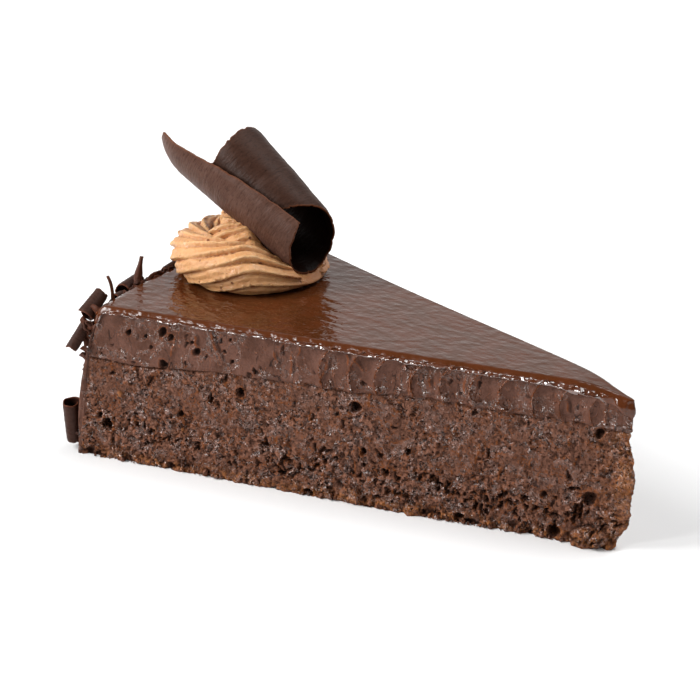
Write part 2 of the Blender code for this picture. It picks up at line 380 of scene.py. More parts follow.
class Graph:
    """The nodes of a new material or world."""

    def __init__(self, owner: Material | bpy.types.World, coordinate: str = "Object") -> None:
        """Empties the owner's nodes.

        Args:
            owner: The material or world.
            coordinate: Which coordinate its textures use.
        """
        self.owner = owner
        owner.use_nodes = True
        self.tree = owner.node_tree
        self.tree.nodes.clear()
        self.place = self.add("ShaderNodeTexCoord").outputs[coordinate]

    def add(
        self, kind: str, settings: dict | None = None, sockets: dict | None = None
    ) -> bpy.types.ShaderNode:
        """Adds any node.

        Args:
            kind: The node's type.
            settings: Its own settings, set before its sockets.
            sockets: Values or links of its input sockets, by name, identifier or number.

        Returns:
            The node.
        """
        node = self.tree.nodes.new(kind)
        for setting, value in (settings or {}).items():
            setattr(node, setting, value)
        named = {s.identifier: s for s in node.inputs} | {s.name: s for s in reversed(node.inputs)}
        for key, value in (sockets or {}).items():
            socket = node.inputs[key] if isinstance(key, int) else named.get(key) or node.inputs[key]
            if isinstance(value, Number):
                value = value.socket
            if isinstance(value, Socket):
                self.tree.links.new(value, socket)
            elif isinstance(value, tuple) and socket.type == "RGBA":
                socket.default_value = (*value, 1.0)
            else:
                socket.default_value = value
        return node

    def noise(
        self, size: float, detail: float = 2.0, rough: float = 0.5, where: Socket | None = None
    ) -> Number:
        """Noise with lumps of a real size.

        Args:
            size: A lump's size in metres.
            detail: How many finer layers it has.
            rough: How strong they are.
            where: The place to read it at, if not the plain one.

        Returns:
            Values of about 0.2 to 0.8.
        """
        node = self.add(
            "ShaderNodeTexNoise",
            {"noise_dimensions": "3D"},
            {"Vector": where or self.place, "Scale": 1 / size, "Detail": detail, "Roughness": rough},
        )
        return Number(self, node.outputs[0])

    def patches(self, size: float, detail: float, rough: float, low: float, high: float) -> Number:
        """Noise turned into soft-edged patches: 0 where it is under low and 1 where it is over high."""
        return self.noise(size, detail, rough).stepped(low, high)

    def cells(self, size: float, where: Socket | None = None) -> Number:
        """Distance to the nearest of many scattered points, in cells of a real size."""
        node = self.add("ShaderNodeTexVoronoi", {}, {"Vector": where or self.place, "Scale": 1 / size})
        return Number(self, node.outputs["Distance"])

    def wavy(self, size: float, reach: float) -> Socket:
        """The plain place shifted to and fro by noise, so that cells read at it aren't straight-edged.

        Args:
            size: The noise's lump size in metres.
            reach: How far it shifts the place.

        Returns:
            The shifted place.
        """
        noise = self.add("ShaderNodeTexNoise", {}, {"Vector": self.place, "Scale": 1 / size, "Detail": 1.0})
        scaled = {0: noise.outputs["Color"], "Scale": reach}
        shift = self.add("ShaderNodeVectorMath", {"operation": "SCALE"}, scaled)
        return self.add("ShaderNodeVectorMath", {}, {0: self.place, 1: shift.outputs[0]}).outputs[0]

    def contour(self, value: Number, level: float, width: float) -> Number:
        """A thin line where a value passes a level."""
        return 1 - (value - level).math("ABSOLUTE").stepped(width * 0.35, width)

    def mark(self, name: str) -> Number:
        """A value that the mesh carries at its points."""
        return Number(self, self.add("ShaderNodeAttribute", {"attribute_name": name}).outputs["Fac"])

    def mark_place(self, name: str, scale: Triple) -> Socket:
        """A place that the mesh carries at its points, stretched along each axis."""
        node = self.add("ShaderNodeAttribute", {"attribute_name": name})
        return self.stretched(node.outputs["Vector"], scale)

    def stretched(self, place: Socket, scale: Triple) -> Socket:
        """A place stretched along each axis."""
        node = self.add("ShaderNodeVectorMath", {"operation": "MULTIPLY"}, {0: place, 1: scale})
        return node.outputs[0]

    def blend(self, share: Number | float, first: Socket | Colour, second: Socket | Colour) -> Socket:
        """Mixes two colours.

        Args:
            share: 0 gives the first colour and 1 the second.
            first: A colour or a link.
            second: A colour or a link.

        Returns:
            The mixed colour.
        """
        node = self.add(
            "ShaderNodeMix",
            {"data_type": "RGBA"},
            {"Factor_Float": share, "A_Color": first, "B_Color": second},
        )
        return next(s for s in node.outputs if s.identifier == "Result_Color")

    def relief(self, height: Number, depth: float, under: Socket | None = None) -> Socket:
        """A Bump node.

        Args:
            height: The relief, from 0 to 1.
            depth: What 1 stands for, in metres.
            under: The normal of coarser relief below it.

        Returns:
            The normal.
        """
        sockets = {"Height": height, "Distance": depth, "Strength": 1.0}
        if under is not None:
            sockets["Normal"] = under
        return self.add("ShaderNodeBump", {}, sockets).outputs[0]

    def finish(self, sockets: dict) -> Material:
        """Ends the graph in a Principled shader.

        Args:
            sockets: The shader's values and links.

        Returns:
            The material.
        """
        shader = self.add("ShaderNodeBsdfPrincipled", {}, sockets)
        self.add("ShaderNodeOutputMaterial", {}, {"Surface": shader.outputs[0]})
        return self.owner

    def wetted(
        self, wet: Number, sockets: dict, gloss: float, roughness: float, index: float = 1.5
    ) -> Material:
        """Ends the graph in a dull shader with a glossy one over it where it is wet.

        Args:
            wet: 0 where it is dull and 1 where it is wet.
            sockets: The dull shader's values and links.
            gloss: The wet shader's specular level.
            roughness: The wet shader's roughness.
            index: The wet shader's refractive index.

        Returns:
            The material.
        """
        dull = self.add("ShaderNodeBsdfPrincipled", {}, sockets)
        changed = sockets | {"Specular IOR Level": gloss, "Roughness": roughness, "IOR": index}
        glossy = self.add("ShaderNodeBsdfPrincipled", {}, changed)
        mixed = self.add("ShaderNodeMixShader", {}, {0: wet, 1: dull.outputs[0], 2: glossy.outputs[0]})
        self.add("ShaderNodeOutputMaterial", {}, {"Surface": mixed.outputs[0]})
        return self.owner


# ---- Finishes ----
def shaded(colour: Socket, roughness: Number, normal: Socket, level: float) -> dict:
    """A Principled shader's sockets: what varies over a surface, and its specular level."""
    return {"Base Color": colour, "Roughness": roughness, "Normal": normal, "Specular IOR Level": level}


@dataclass(frozen=True)
class CrumbFinish:
    """Moist dense cake: pebbly, with painted shade in its creases, holes and low grain, wet glints, warm
    dragged edges and a baked foot.
    """

    flesh: Colour = (0.224, 0.100, 0.064)
    pale: Colour = (0.248, 0.118, 0.080)
    # painted shade: near-black for creases, holes, low grain and wherever the mesh marks shade
    shade: Colour = (0.008, 0.0022, 0.0010)
    drag: Colour = (0.190, 0.056, 0.016)
    soaked: Colour = (0.150, 0.058, 0.034)
    smooth: Colour = (0.105, 0.046, 0.030)
    crust: Colour = (0.380, 0.140, 0.042)

    def material(self) -> Material:
        """The cake's material.

        Returns:
            The material.
        """
        graph = Graph(bpy.data.materials.new("moist_crumb"))
        rough, hollow = graph.mark("rough"), graph.mark("hollow")
        patch = graph.patches(0.0042, 3.0, 0.6, 0.36, 0.66)
        grain = graph.noise(0.00080, 3.0, 0.7)
        ground = graph.noise(0.0021, 3.0, 0.62)
        wet = ground.stepped(0.49, 0.54) * (rough * 0.6 + 0.4)
        line = graph.contour(ground, 0.484, 0.024) * graph.patches(0.0040, 1.0, 0.5, 0.40, 0.50)
        pebble = graph.cells(0.0013, graph.wavy(0.0010, 0.0007))
        hole = pebble.stepped(0.27, 0.17) * graph.patches(0.0034, 2.0, 0.6, 0.46, 0.54)
        hole = hole * (rough * 0.6 + 0.4)
        crease = pebble.stepped(0.42, 0.62) * graph.patches(0.0024, 2.0, 0.6, 0.46, 0.60)
        colour = graph.blend(patch * 0.35, self.flesh, self.pale)
        colour = graph.blend((1 - rough).clipped() * 0.68, colour, self.smooth)
        colour = graph.blend(wet * 0.75, colour, self.soaked)
        # painted shade where the fine grain bump is low
        colour = graph.blend(grain.stepped(0.50, 0.34) * 0.60, colour, self.shade)
        # painted shade in the creases between pebbles
        colour = graph.blend(crease * (rough * 0.50 + 0.22), colour, self.shade)
        streak = (graph.mark("smear") - graph.noise(0.0008, 2.0, 0.6) * 0.5).stepped(0.10, 0.40)
        colour = graph.blend((streak * 0.80 + line * 0.80).clipped(), colour, self.drag)
        baked_bits = graph.mark("crust") * graph.patches(0.0010, 3.0, 0.6, 0.42, 0.56)
        colour = graph.blend(baked_bits * 0.80, colour, self.crust)
        # painted shade in the holes and wherever the mesh marks shade
        colour = graph.blend((hole * 0.9 + hollow).clipped() * 0.96, colour, self.shade)
        bead = graph.noise(0.00100, 0.8, 0.5)
        dew = graph.cells(0.0010).stepped(0.34, 0.16) * graph.patches(0.0030, 2.0, 0.6, 0.42, 0.54)
        normal = graph.relief(1 - hole, 0.00070)
        normal = graph.relief(1 - pebble, 0.00080, normal)
        normal = graph.relief(bead * (wet * 0.8 + 0.2), 0.0014, normal)
        normal = graph.relief(grain * (1 - wet * 0.8), 0.00060, normal)
        normal = graph.relief(dew, 0.00048, normal)
        sockets = shaded(colour, 0.62 + hollow * 0.3, normal, 0.05)
        shown = (wet * (1 - crease * 0.6) + dew) * (1 - hollow) * (1 - hole)
        return graph.wetted(shown.clipped(), sockets, 0.90, 0.12)


@dataclass(frozen=True)
class MousseFinish:
    """Set chocolate mousse: smooth and satin, streaked and wet where the knife pulled it, with painted
    shade in its cracks, holes and low grain.
    """

    flesh: Colour = (0.078, 0.029, 0.016)
    pale: Colour = (0.142, 0.062, 0.042)
    # painted shade: near-black for cracks, holes and low grain
    shade: Colour = (0.006, 0.0018, 0.0008)
    drag: Colour = (0.180, 0.046, 0.010)
    soaked: Colour = (0.105, 0.038, 0.020)

    def material(self) -> Material:
        """The mousse's material.

        Returns:
            The material.
        """
        graph = Graph(bpy.data.materials.new("set_mousse"))
        rough, hollow = graph.mark("rough"), graph.mark("hollow")
        patch = graph.patches(0.0050, 3.0, 0.6, 0.34, 0.62)
        ground = graph.noise(0.0034, 3.0, 0.64, graph.stretched(graph.place, (1.0, 1.0, 0.75)))
        wet = ground.stepped(0.528, 0.546) * ground.stepped(0.610, 0.585) * (rough * 0.7 + 0.5).clipped()
        wet = (wet + (rough - 1).clipped() * 0.9).clipped()
        pulled = graph.noise(0.0030, 2.0, 0.55, graph.stretched(graph.place, (1.0, 1.0, 0.30)))
        line = graph.contour(ground, 0.522, 0.015) + graph.contour(pulled, 0.52, 0.011) * rough.clipped()
        crack = graph.contour(pulled, 0.455, 0.010) * graph.patches(0.0060, 1.0, 0.5, 0.50, 0.58)
        fine = graph.noise(0.00050, 3.0, 0.7)
        colour = graph.blend(patch * 0.75, self.flesh, self.pale)
        colour = graph.blend(wet * 0.75, colour, self.soaked)
        # painted shade where the fine bump is low
        colour = graph.blend(fine.stepped(0.50, 0.30) * 0.30, colour, self.shade)
        streak = (graph.mark("smear") - graph.noise(0.0008, 2.0, 0.6) * 0.5).stepped(0.10, 0.44)
        colour = graph.blend((streak * 0.75 + line * 0.60).clipped(), colour, self.drag)
        # painted shade in cracks, holes and wherever the mesh marks shade
        colour = graph.blend((crack * 0.7 + hollow).clipped() * 0.96, colour, self.shade)
        bead = graph.noise(0.00120, 0.8, 0.5)
        normal = graph.relief(line + 1 - crack, 0.00018)
        normal = graph.relief(bead * wet, 0.0024, normal)
        normal = graph.relief(fine * (1 - wet * 0.8), 0.00024, normal)
        sockets = shaded(colour, 0.36 + hollow * 0.5, normal, 0.14)
        return graph.wetted(((wet + line * 0.4) * (1 - hollow)).clipped(), sockets, 0.95, 0.12)


@dataclass(frozen=True)
class GlazeFinish:
    """Poured chocolate glaze: glossy, red-brown where it is thin."""

    deep: Colour = (0.068, 0.0195, 0.0052)
    thin: Colour = (0.110, 0.026, 0.008)
    wrinkle: float = 0.0024

    def material(self) -> Material:
        """The glaze's material.

        Returns:
            The material.
        """
        graph = Graph(bpy.data.materials.new("poured_glaze"))
        tone = graph.patches(0.0060, 2.0, 0.5, 0.35, 0.65)
        colour = graph.blend(tone * 0.35, self.deep, self.thin)
        edge = graph.mark("edge")
        colour = graph.blend(edge * 0.65, colour, self.thin)
        wave = graph.noise(self.wrinkle, 2.0, 0.45, graph.stretched(graph.place, (0.85, 1.15, 1.0)))
        normal = graph.relief(wave, 0.00038)
        low = edge.stepped(0.42, 0.54) * edge.stepped(0.92, 0.82)
        ramp = edge.math("MAXIMUM", 0.42).math("MINIMUM", 0.90)
        lumps = (graph.noise(0.0026, 1.5, 0.5) - 0.5) * low
        normal = graph.relief(ramp + lumps * 1.9, 0.0012, normal)
        normal = graph.relief(graph.noise(0.0006, 2.0, 0.5), 0.00001, normal)
        roughness = 0.13 + graph.patches(0.0015, 2.0, 0.5, 0.4, 0.7) * 0.06
        return graph.wetted(low, shaded(colour, roughness, normal, 0.45), 1.0, 0.15, 1.75)


@dataclass(frozen=True)
class CreamFinish:
    """Coffee-brown buttercream: soft matte, with painted shade in its pores, grooves and on the side under
    the curl, and a painted highlight on its crests.
    """

    flesh: Colour = (0.580, 0.276, 0.106)
    # painted highlight: the paler colour laid on the crests
    crest: Colour = (0.700, 0.420, 0.196)
    # painted shade: the grooves and the side under the curl
    groove: Colour = (0.330, 0.120, 0.038)
    pore: Colour = (0.190, 0.050, 0.014)

    def material(self) -> Material:
        """The cream's material.

        Returns:
            The material.
        """
        graph = Graph(bpy.data.materials.new("piped_cream"))
        tone = graph.patches(0.0030, 3.0, 0.6, 0.35, 0.68)
        colour = graph.blend(tone * 0.30, self.flesh, self.crest)
        # painted highlight on the crests
        colour = graph.blend(graph.mark("crest") * 0.60, colour, self.crest)
        # painted shade in the grooves, and a painted shadow on the side under the curl
        colour = graph.blend(graph.mark("hollow") * 0.75, colour, self.groove)
        spots = graph.cells(0.0021).stepped(0.20, 0.12) * graph.patches(0.0034, 1.0, 0.5, 0.46, 0.54)
        # painted shade in the pores
        colour = graph.blend(spots * 0.80, colour, self.pore)
        normal = graph.relief(graph.noise(0.0009, 4.0, 0.65), 0.00034)
        normal = graph.relief(1 - spots, 0.00022, normal)
        sockets = shaded(colour, 0.40 + tone * 0.16, normal, 0.50)
        sockets |= {"Subsurface Weight": 0.12, "Subsurface Scale": 0.0012}
        sockets["Subsurface Radius"] = (1.0, 0.5, 0.25)
        oily = graph.patches(0.0018, 2.0, 0.6, 0.50, 0.58)
        oily = oily * graph.patches(0.0060, 1.0, 0.5, 0.44, 0.56)
        return graph.wetted(oily * 0.8, sockets, 0.9, 0.22)


@dataclass(frozen=True)
class ChocolateFinish:
    """Dark chocolate shaved thin: fine scraped lines with painted shade in their grooves, grey bloom, warm
    broken edges, and painted shade where the mesh marks a side as shadowed.
    """

    flesh: Colour = (0.072, 0.032, 0.021)
    bloom: Colour = (0.125, 0.065, 0.048)
    lip: Colour = (0.170, 0.052, 0.018)
    # painted shade: near-black for the line grooves and shadowed sides
    inside: Colour = (0.006, 0.002, 0.001)
    bloom_share: float = 0.45
    shine: float = 0.09

    def material(self, name: str) -> Material:
        """The chocolate's material.

        Args:
            name: The material's name.

        Returns:
            The material.
        """
        graph = Graph(bpy.data.materials.new(name))
        lines = graph.noise(0.00060, 3.0, 0.6, graph.mark_place("grain", (0.12, 1.0, 1.0)))
        fine = graph.noise(0.00038, 2.0, 0.6, graph.mark_place("grain", (0.35, 1.0, 1.0)))
        cloud = graph.patches(0.0060, 3.0, 0.6, 0.32, 0.70)
        colour = graph.blend(cloud * self.bloom_share, self.flesh, self.bloom)
        colour = graph.blend(lines.stepped(0.46, 0.66) * 0.18, colour, self.bloom)
        # painted shade in the grooves of the lines
        colour = graph.blend(lines.stepped(0.47, 0.34) * 0.18, colour, self.inside)
        # painted shade where the fine bump is low
        colour = graph.blend(fine.stepped(0.50, 0.34) * 0.35, colour, self.inside)
        # painted shade where the mesh marks a shadowed side
        colour = graph.blend(graph.mark("inside") * 0.92, colour, self.inside)
        colour = graph.blend(graph.mark("lip") * 0.60, colour, self.lip)
        normal = graph.relief(lines, 0.00016)
        normal = graph.relief(fine, 0.00007, normal)
        return graph.finish(shaded(colour, 0.38 + cloud * 0.10, normal, self.shine))


@dataclass(frozen=True)
class PlainFinish:
    """The floor that the slice stands on."""

    tone: Colour = (0.93, 0.93, 0.93)

    def material(self) -> Material:
        """The floor's material."""
        graph = Graph(bpy.data.materials.new("pale_floor"))
        return graph.finish({"Base Color": self.tone, "Roughness": 0.9, "Specular IOR Level": 0.1})


# ---- The slice's plan ----
def cake_axis() -> float:
    """Where the whole cake's axis lies along X."""
    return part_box("cake_layer")[1].x + TIP_BLUNT


@dataclass(frozen=True)
class Plan:
    """Where the slice's surfaces lie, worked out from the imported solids' boxes.

    The bite eaten from the tip, by height, and the waves of the layers' join, by radius, are in
    millimetres. Everything else is in metres and radians.
    """

    blunt: float = TIP_BLUNT
    corner: float = 0.0016
    half_angle: float = math.pi / 12
    wave: float = 0.0004
    wave_end: float = 0.140
    tip_sag: float = 0.0022
    sag_length: float = 0.008
    shoulder: float = 0.0033
    coat: float = 0.0012
    flare: float = 0.0065
    glaze_thickness: float = 0.0015
    bite_at: tuple[float, ...] = (0, 1.3, 4.0, 6.5, 10, 15.2, 17.1, 19, 21.9, 24.2, 25.6, 27.0, 40)
    bite: tuple[float, ...] = (3.6, 2.8, 0.9, -0.6, -0.5, -1.0, -1.3, -0.8, -0.7, 0.8, 0.2, 0.0, 0.0)
    layer_at: tuple[float, ...] = (0, 8, 18, 28, 43, 51, 62, 72, 94, 112, 124.5)
    layer: tuple[float, ...] = (0.9, -0.3, -0.7, -0.5, 0.5, 0.5, -0.3, 0.15, 0.15, -0.7, 0.4)
    mousse_at_tip: float = 0.0062
    mousse_slope: float = 0.0046 / 0.125
    axis: float = field(default_factory=cake_axis)
    height: float = field(default_factory=lambda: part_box("glaze_layer")[1].z)
    glaze_foot: float = field(default_factory=lambda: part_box("glaze_layer")[0].z)
    foot: float = field(default_factory=lambda: cake_axis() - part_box("mousse_layer")[0].x)

    @property
    def shoulder_foot(self) -> float:
        """Height at which the shoulder begins to bend in."""
        return self.height - self.shoulder

    @property
    def shoulder_edge(self) -> float:
        """Radius at which the shoulder has bent level."""
        return float(self.rim(self.shoulder_foot)) - self.shoulder

    @property
    def coat_start(self) -> float:
        """Radius beyond which the rim's coat reaches the base."""
        return float(self.rim(self.shoulder_foot)) - self.coat

    def chewed(self, height: np.ndarray) -> np.ndarray:
        """How far the tip is eaten back at each height, less than 0 where it stands forward."""
        return np.interp(height, *(np.array(v) * MILLIMETRE for v in (self.bite_at, self.bite)))

    def under_glaze(self, radius: np.ndarray, depth: float) -> np.ndarray:
        """Height of what lies below the glaze's outside, round the shoulder too.

        Args:
            radius: Distance from the cake's axis.
            depth: How far below.

        Returns:
            The height at each radius.
        """
        past = np.maximum(radius - self.shoulder_edge, 0.0)
        bend = np.sqrt(np.maximum((self.shoulder - depth) ** 2 - past**2, 0.0))
        return np.where(past > 0, self.shoulder_foot + bend, self.top(radius) - depth)

    def top(self, radius: np.ndarray) -> np.ndarray:
        """Height of the glazed top, which sags a little at the tip."""
        return self.height - self.tip_sag * np.exp(-np.square(radius / self.sag_length))

    def join(self, radius: np.ndarray) -> np.ndarray:
        """Height of the cake's wavy top under the mousse, which is thicker towards the rim."""
        flat = self.top(radius) - self.glaze_thickness - self.mousse_at_tip - self.mousse_slope * radius
        return flat + np.interp(radius, *(np.array(v) * MILLIMETRE for v in (self.layer_at, self.layer)))

    def rim(self, height: np.ndarray) -> np.ndarray:
        """Radius of the rim's outside, which leans in towards the top."""
        return self.foot - self.flare * np.square(height / self.height)

    def stretch(self, share: np.ndarray, end: np.ndarray, turn: np.ndarray) -> np.ndarray:
        """Radius of a share of the way to the rim, whose end and lean only the last stretch follows."""
        start = self.blunt + (self.corner - self.blunt) * np.square(turn)
        return start + (self.foot - start) * share - (self.foot - end) * share**8

    def spot(self, radius: np.ndarray, turn: np.ndarray, height: np.ndarray) -> np.ndarray:
        """The point at a radius, a share of the half angle and a height.

        Args:
            radius: Distance from the cake's axis.
            turn: -1 on the front cut, 1 on the back cut.
            height: Height above the base.

        Returns:
            The points, three numbers in the last axis.
        """
        angle = turn * self.half_angle
        share = (radius - self.corner) / (self.wave_end - self.corner)
        wander = self.wave * np.sin(7.3 * share + np.sign(turn)) * (1 - (1 - share) ** 6) * np.abs(turn)
        lean = self.half_angle
        back = self.axis - radius * np.cos(angle) - wander * math.sin(lean)
        aside = radius * np.sin(angle) + np.sign(turn) * wander * math.cos(lean)
        return np.stack([back, aside, height], -1)


@dataclass
class Wedge:
    """The grid of a closed body with the slice's plan: a wall all round it and two caps.

    A column of the wall is a place on the slice's outline, and a row a height. The outline runs from
    the rim along the front cut, round the tip and back along the other cut and the rim.
    """

    plan: Plan
    stations: int
    across: int
    rows: int
    crowd: float = 0.0
    reach: float = 1.0

    def __post_init__(self) -> None:
        """Works out share, turn and length along the outline for each column."""
        share = np.linspace(0, self.reach, self.stations + 1)
        even = np.linspace(-1, 1, self.across + 1)
        turn = (1 - self.crowd) * even + self.crowd * np.sin(even * math.pi / 2)
        ones, inner = np.ones(self.stations + 1), turn[1:-1]
        nothing = np.zeros(self.across - 1)
        self.turns = turn
        self.shares = share
        self.share = np.concatenate([share[::-1], nothing, share, nothing + self.reach])
        self.turn = np.concatenate([-ones, inner, ones, inner[::-1]])
        self.columns = len(self.share)
        outline = self.plan.spot(
            self.plan.stretch(self.share, np.full(self.columns, self.plan.foot), self.turn),
            self.turn,
            np.zeros(self.columns),
        )
        steps = np.linalg.norm(np.diff(outline, axis=0), axis=1)
        self.run = np.concatenate([[0.0], np.cumsum(steps)])
        self.tip_run = float(self.run[self.stations + self.across // 2])
        self.zeta = np.linspace(0, 1, self.rows + 1)

    def outward(self) -> np.ndarray:
        """The level direction away from the slice.

        Returns:
            One unit vector for each column.
        """
        lean = self.plan.half_angle
        angle = self.turn * lean
        cut = np.stack([np.full(self.columns, math.sin(lean)), np.sign(self.turn) * math.cos(lean)], -1)
        rim = np.stack([-np.cos(angle), np.sin(angle)], -1)
        tip_way = self.turn * (math.pi / 2 - lean)
        tip = np.stack([np.cos(tip_way), np.sin(tip_way)], -1)
        level = np.where((self.share == 0)[:, None], tip, cut)
        last = self.share == self.reach
        level = np.where(last[:, None], rim, level)
        level = np.where((last & (np.abs(self.turn) == 1))[:, None], unit(rim + cut), level)
        return np.concatenate([level, np.zeros((self.columns, 1))], 1)

    def along(self, radius: float, side: int) -> float:
        """Place along the outline of a radius.

        Args:
            radius: Distance from the cake's axis.
            side: -1 for the front cut and 1 for the back cut.

        Returns:
            The length along the outline.
        """
        first = 0 if side < 0 else self.stations + self.across
        run = self.run[first : first + self.stations + 1]
        share = (radius - self.plan.corner) / (self.plan.foot - self.plan.corner)
        return float(np.interp(share, self.shares, run[::-1] if side < 0 else run))

    def number(self, column: int, row: int) -> int:
        """Index of a wall point."""
        return (column % self.columns) * (self.rows + 1) + row

    def arc(self, at_rim: bool) -> list[int]:
        """Columns of the tip's or the rim's arc, from the front cut to the back cut."""
        first, step = (2 * (self.stations + self.across), -1) if at_rim else (self.stations, 1)
        return [first + step * k for k in range(self.across + 1)]

    def wall_faces(self) -> np.ndarray:
        """The wall's faces.

        Returns:
            Four indices for each face.
        """
        index = np.arange(self.columns * (self.rows + 1)).reshape(self.columns, -1)
        ahead = np.roll(index, -1, axis=0)
        return np.stack([index[:, :-1], ahead[:, :-1], ahead[:, 1:], index[:, 1:]], -1).reshape(-1, 4)

    def cap(self, row: int, step: int, first: int) -> tuple[list[list[int]], np.ndarray, np.ndarray]:
        """A cap over the wall's top or bottom row.

        Args:
            row: The wall row that it closes.
            step: It uses each step-th place across, 1 for all of them.
            first: Index of its first own point.

        Returns:
            Its faces, and the share and turn of each of its own points.
        """
        picks = list(range(step, self.across, step))
        lines = []
        for i in range(1, self.stations):
            own = [first + (i - 1) * len(picks) + k for k in range(len(picks))]
            front = self.number(self.stations - i, row)
            back = self.number(self.stations + self.across + i, row)
            lines.append([front, *own, back])
        faces = []
        for low, high in itertools.pairwise(lines):
            faces += [[low[k], low[k + 1], high[k + 1], high[k]] for k in range(len(low) - 1)]
        for at_rim, line in ((False, lines[0]), (True, lines[-1])):
            arc = [self.number(c, row) for c in self.arc(at_rim)]
            for k in range(len(line) - 1):
                end = min((k + 1) * step, self.across) if k < len(line) - 2 else self.across
                fine, pair = arc[k * step : end + 1], [line[k], line[k + 1]]
                faces.append([*pair, *fine[::-1]] if at_rim else [*fine, *pair[::-1]])
        if row == 0:
            faces = [f[::-1] for f in faces]
        share = np.repeat(self.shares[1:-1], len(picks))
        turn = np.tile(self.turns[picks], self.stations - 1)
        return faces, share, turn


class Relief:
    """Height and marks over a wall's grid, made by strokes and pits, with one mark for where shade is
    painted.
    """

    def __init__(self, run: np.ndarray, height: np.ndarray) -> None:
        """Starts flat.

        Args:
            run: Length along the outline of each column.
            height: Height above the base of each column's rows.
        """
        self.run = run
        self.height = height
        self.out, self.smear, self.hollow, self.crust, self.rough = np.zeros((5, *height.shape))

    def block(self, run: float, low: float, high: float, reach: float) -> tuple[slice, slice]:
        """The part of the grid about a place.

        Args:
            run: Place along the outline.
            low: Lowest height.
            high: Highest height.
            reach: Distance kept all round.

        Returns:
            Slices of the columns and the rows.
        """
        columns = slice(*np.searchsorted(self.run, (run - reach, run + reach)))
        middle = min(int(np.searchsorted(self.run, run)), len(self.run) - 1)
        rows = np.searchsorted(self.height[middle], (low - reach, high + reach))
        return columns, slice(max(0, rows[0] - 1), rows[1] + 1)

    def pit(
        self, run: float, height: float, radius: float, depth: float, tall: float = 1.0, ragged: float = 1.0
    ) -> None:
        """Sinks a hole, and marks its inside for painted shade and its rim for a warm smear.

        Args:
            run: Its place along the outline.
            height: Its height.
            radius: Its radius along the outline.
            depth: How deep it goes.
            tall: Its height against its width.
            ragged: How far it is from round.
        """
        part = self.block(run, height, height, radius * max(1.0, tall) * 1.8)
        across = (self.run[part[0], None] - run) / radius
        up = (self.height[part] - height) / (radius * tall)
        way = np.arctan2(up, across)
        uneven = 0.09 * np.sin(2 * way + run * 5e3) + 0.07 * np.sin(3 * way + run * 9e3)
        away = np.sqrt(across**2 + up**2) * (1 + ragged * uneven)
        bowl = np.sqrt(np.clip(1 - away**2, 0, 1))
        self.out[part] += 0.14 * depth * bump((away - 1.25) / 0.3) - depth * bowl
        # painted shade: the hole's inside is marked for darkening
        self.hollow[part] = np.maximum(self.hollow[part], np.sqrt(bowl) * min(1.0, depth / 0.00045))
        self.smear[part] = np.maximum(self.smear[part], 0.60 * bump((away - 1.3) / 0.35))

    def lump(self, run: float, height: float, radius: float, lift: float, tall: float = 1.0) -> None:
        """Raises a rough crusted lump.

        Args:
            run: Its place along the outline.
            height: Its height.
            radius: Its radius along the outline.
            lift: How far it stands out.
            tall: Its height against its width.
        """
        part = self.block(run, height, height, radius * max(1.0, tall) * 1.3)
        across = (self.run[part[0], None] - run) / radius
        up = (self.height[part] - height) / (radius * tall)
        dome = np.clip(1.1 - across**2 - up**2, 0, 1) ** 0.45
        self.out[part] += lift * dome
        self.crust[part] = np.maximum(self.crust[part], 0.75 * dome)

    def stroke(
        self, run: float, height: float, length: float, lean: float, width: float, lift: float
    ) -> None:
        """Lays a dragged ridge with a furrow beside it.

        Args:
            run: Place of its foot along the outline.
            height: Height of its foot.
            length: How far up it reaches.
            lean: How far it drifts sideways for each metre up.
            width: Half the ridge's width.
            lift: How far it stands out.
        """
        reach = 4 * width + abs(lean) * length
        part = self.block(run, height, height + length, reach)
        up = (self.height[part] - height) / length
        middle = run + lean * (self.height[part] - height) + 0.35 * width * np.sin(9 * up + run * 900)
        side = (self.run[part[0], None] - middle) / width
        window = smooth(up, -0.12, 0.22) * smooth(1.1 - up, 0.0, 0.35)
        self.out[part] += lift * window * (bump(side) - 0.75 * bump((side - 1.9) / 1.1))
        self.smear[part] = np.maximum(self.smear[part], window * bump(side * 1.25))


def furrowed(out: np.ndarray, reach: int, depth: float) -> np.ndarray:
    """How far each point lies below its surroundings.

    Args:
        out: Relief over a grid.
        reach: Half the size of the surroundings, in grid steps.
        depth: The difference that counts as fully sunken.

    Returns:
        Values from 0 to 1.
    """
    soft = out
    for axis in (0, 1):
        edge = [(0, 0), (0, 0)]
        edge[axis] = (reach + 1, reach)
        total = np.cumsum(np.pad(soft, edge, mode="edge"), axis=axis)
        count = out.shape[axis]
        ahead = np.take(total, np.arange(count) + 2 * reach + 1, axis=axis)
        soft = (ahead - np.take(total, np.arange(count), axis=axis)) / (2 * reach + 1)
    return np.clip((soft - out) / depth, 0.0, 1.0)


# ---- The layers ----
@dataclass(frozen=True)
class Spot:
    """A hole or lump of the front cut, in millimetres."""

    out: float
    up: float
    size: float
    deep: float
    tall: float = 1.0

    def metres(self) -> tuple[float, float, float, float]:
        """Its place out along the cut, its height, its size and its depth in metres."""
        return tuple(v * MILLIMETRE for v in (self.out, self.up, self.size, self.deep))


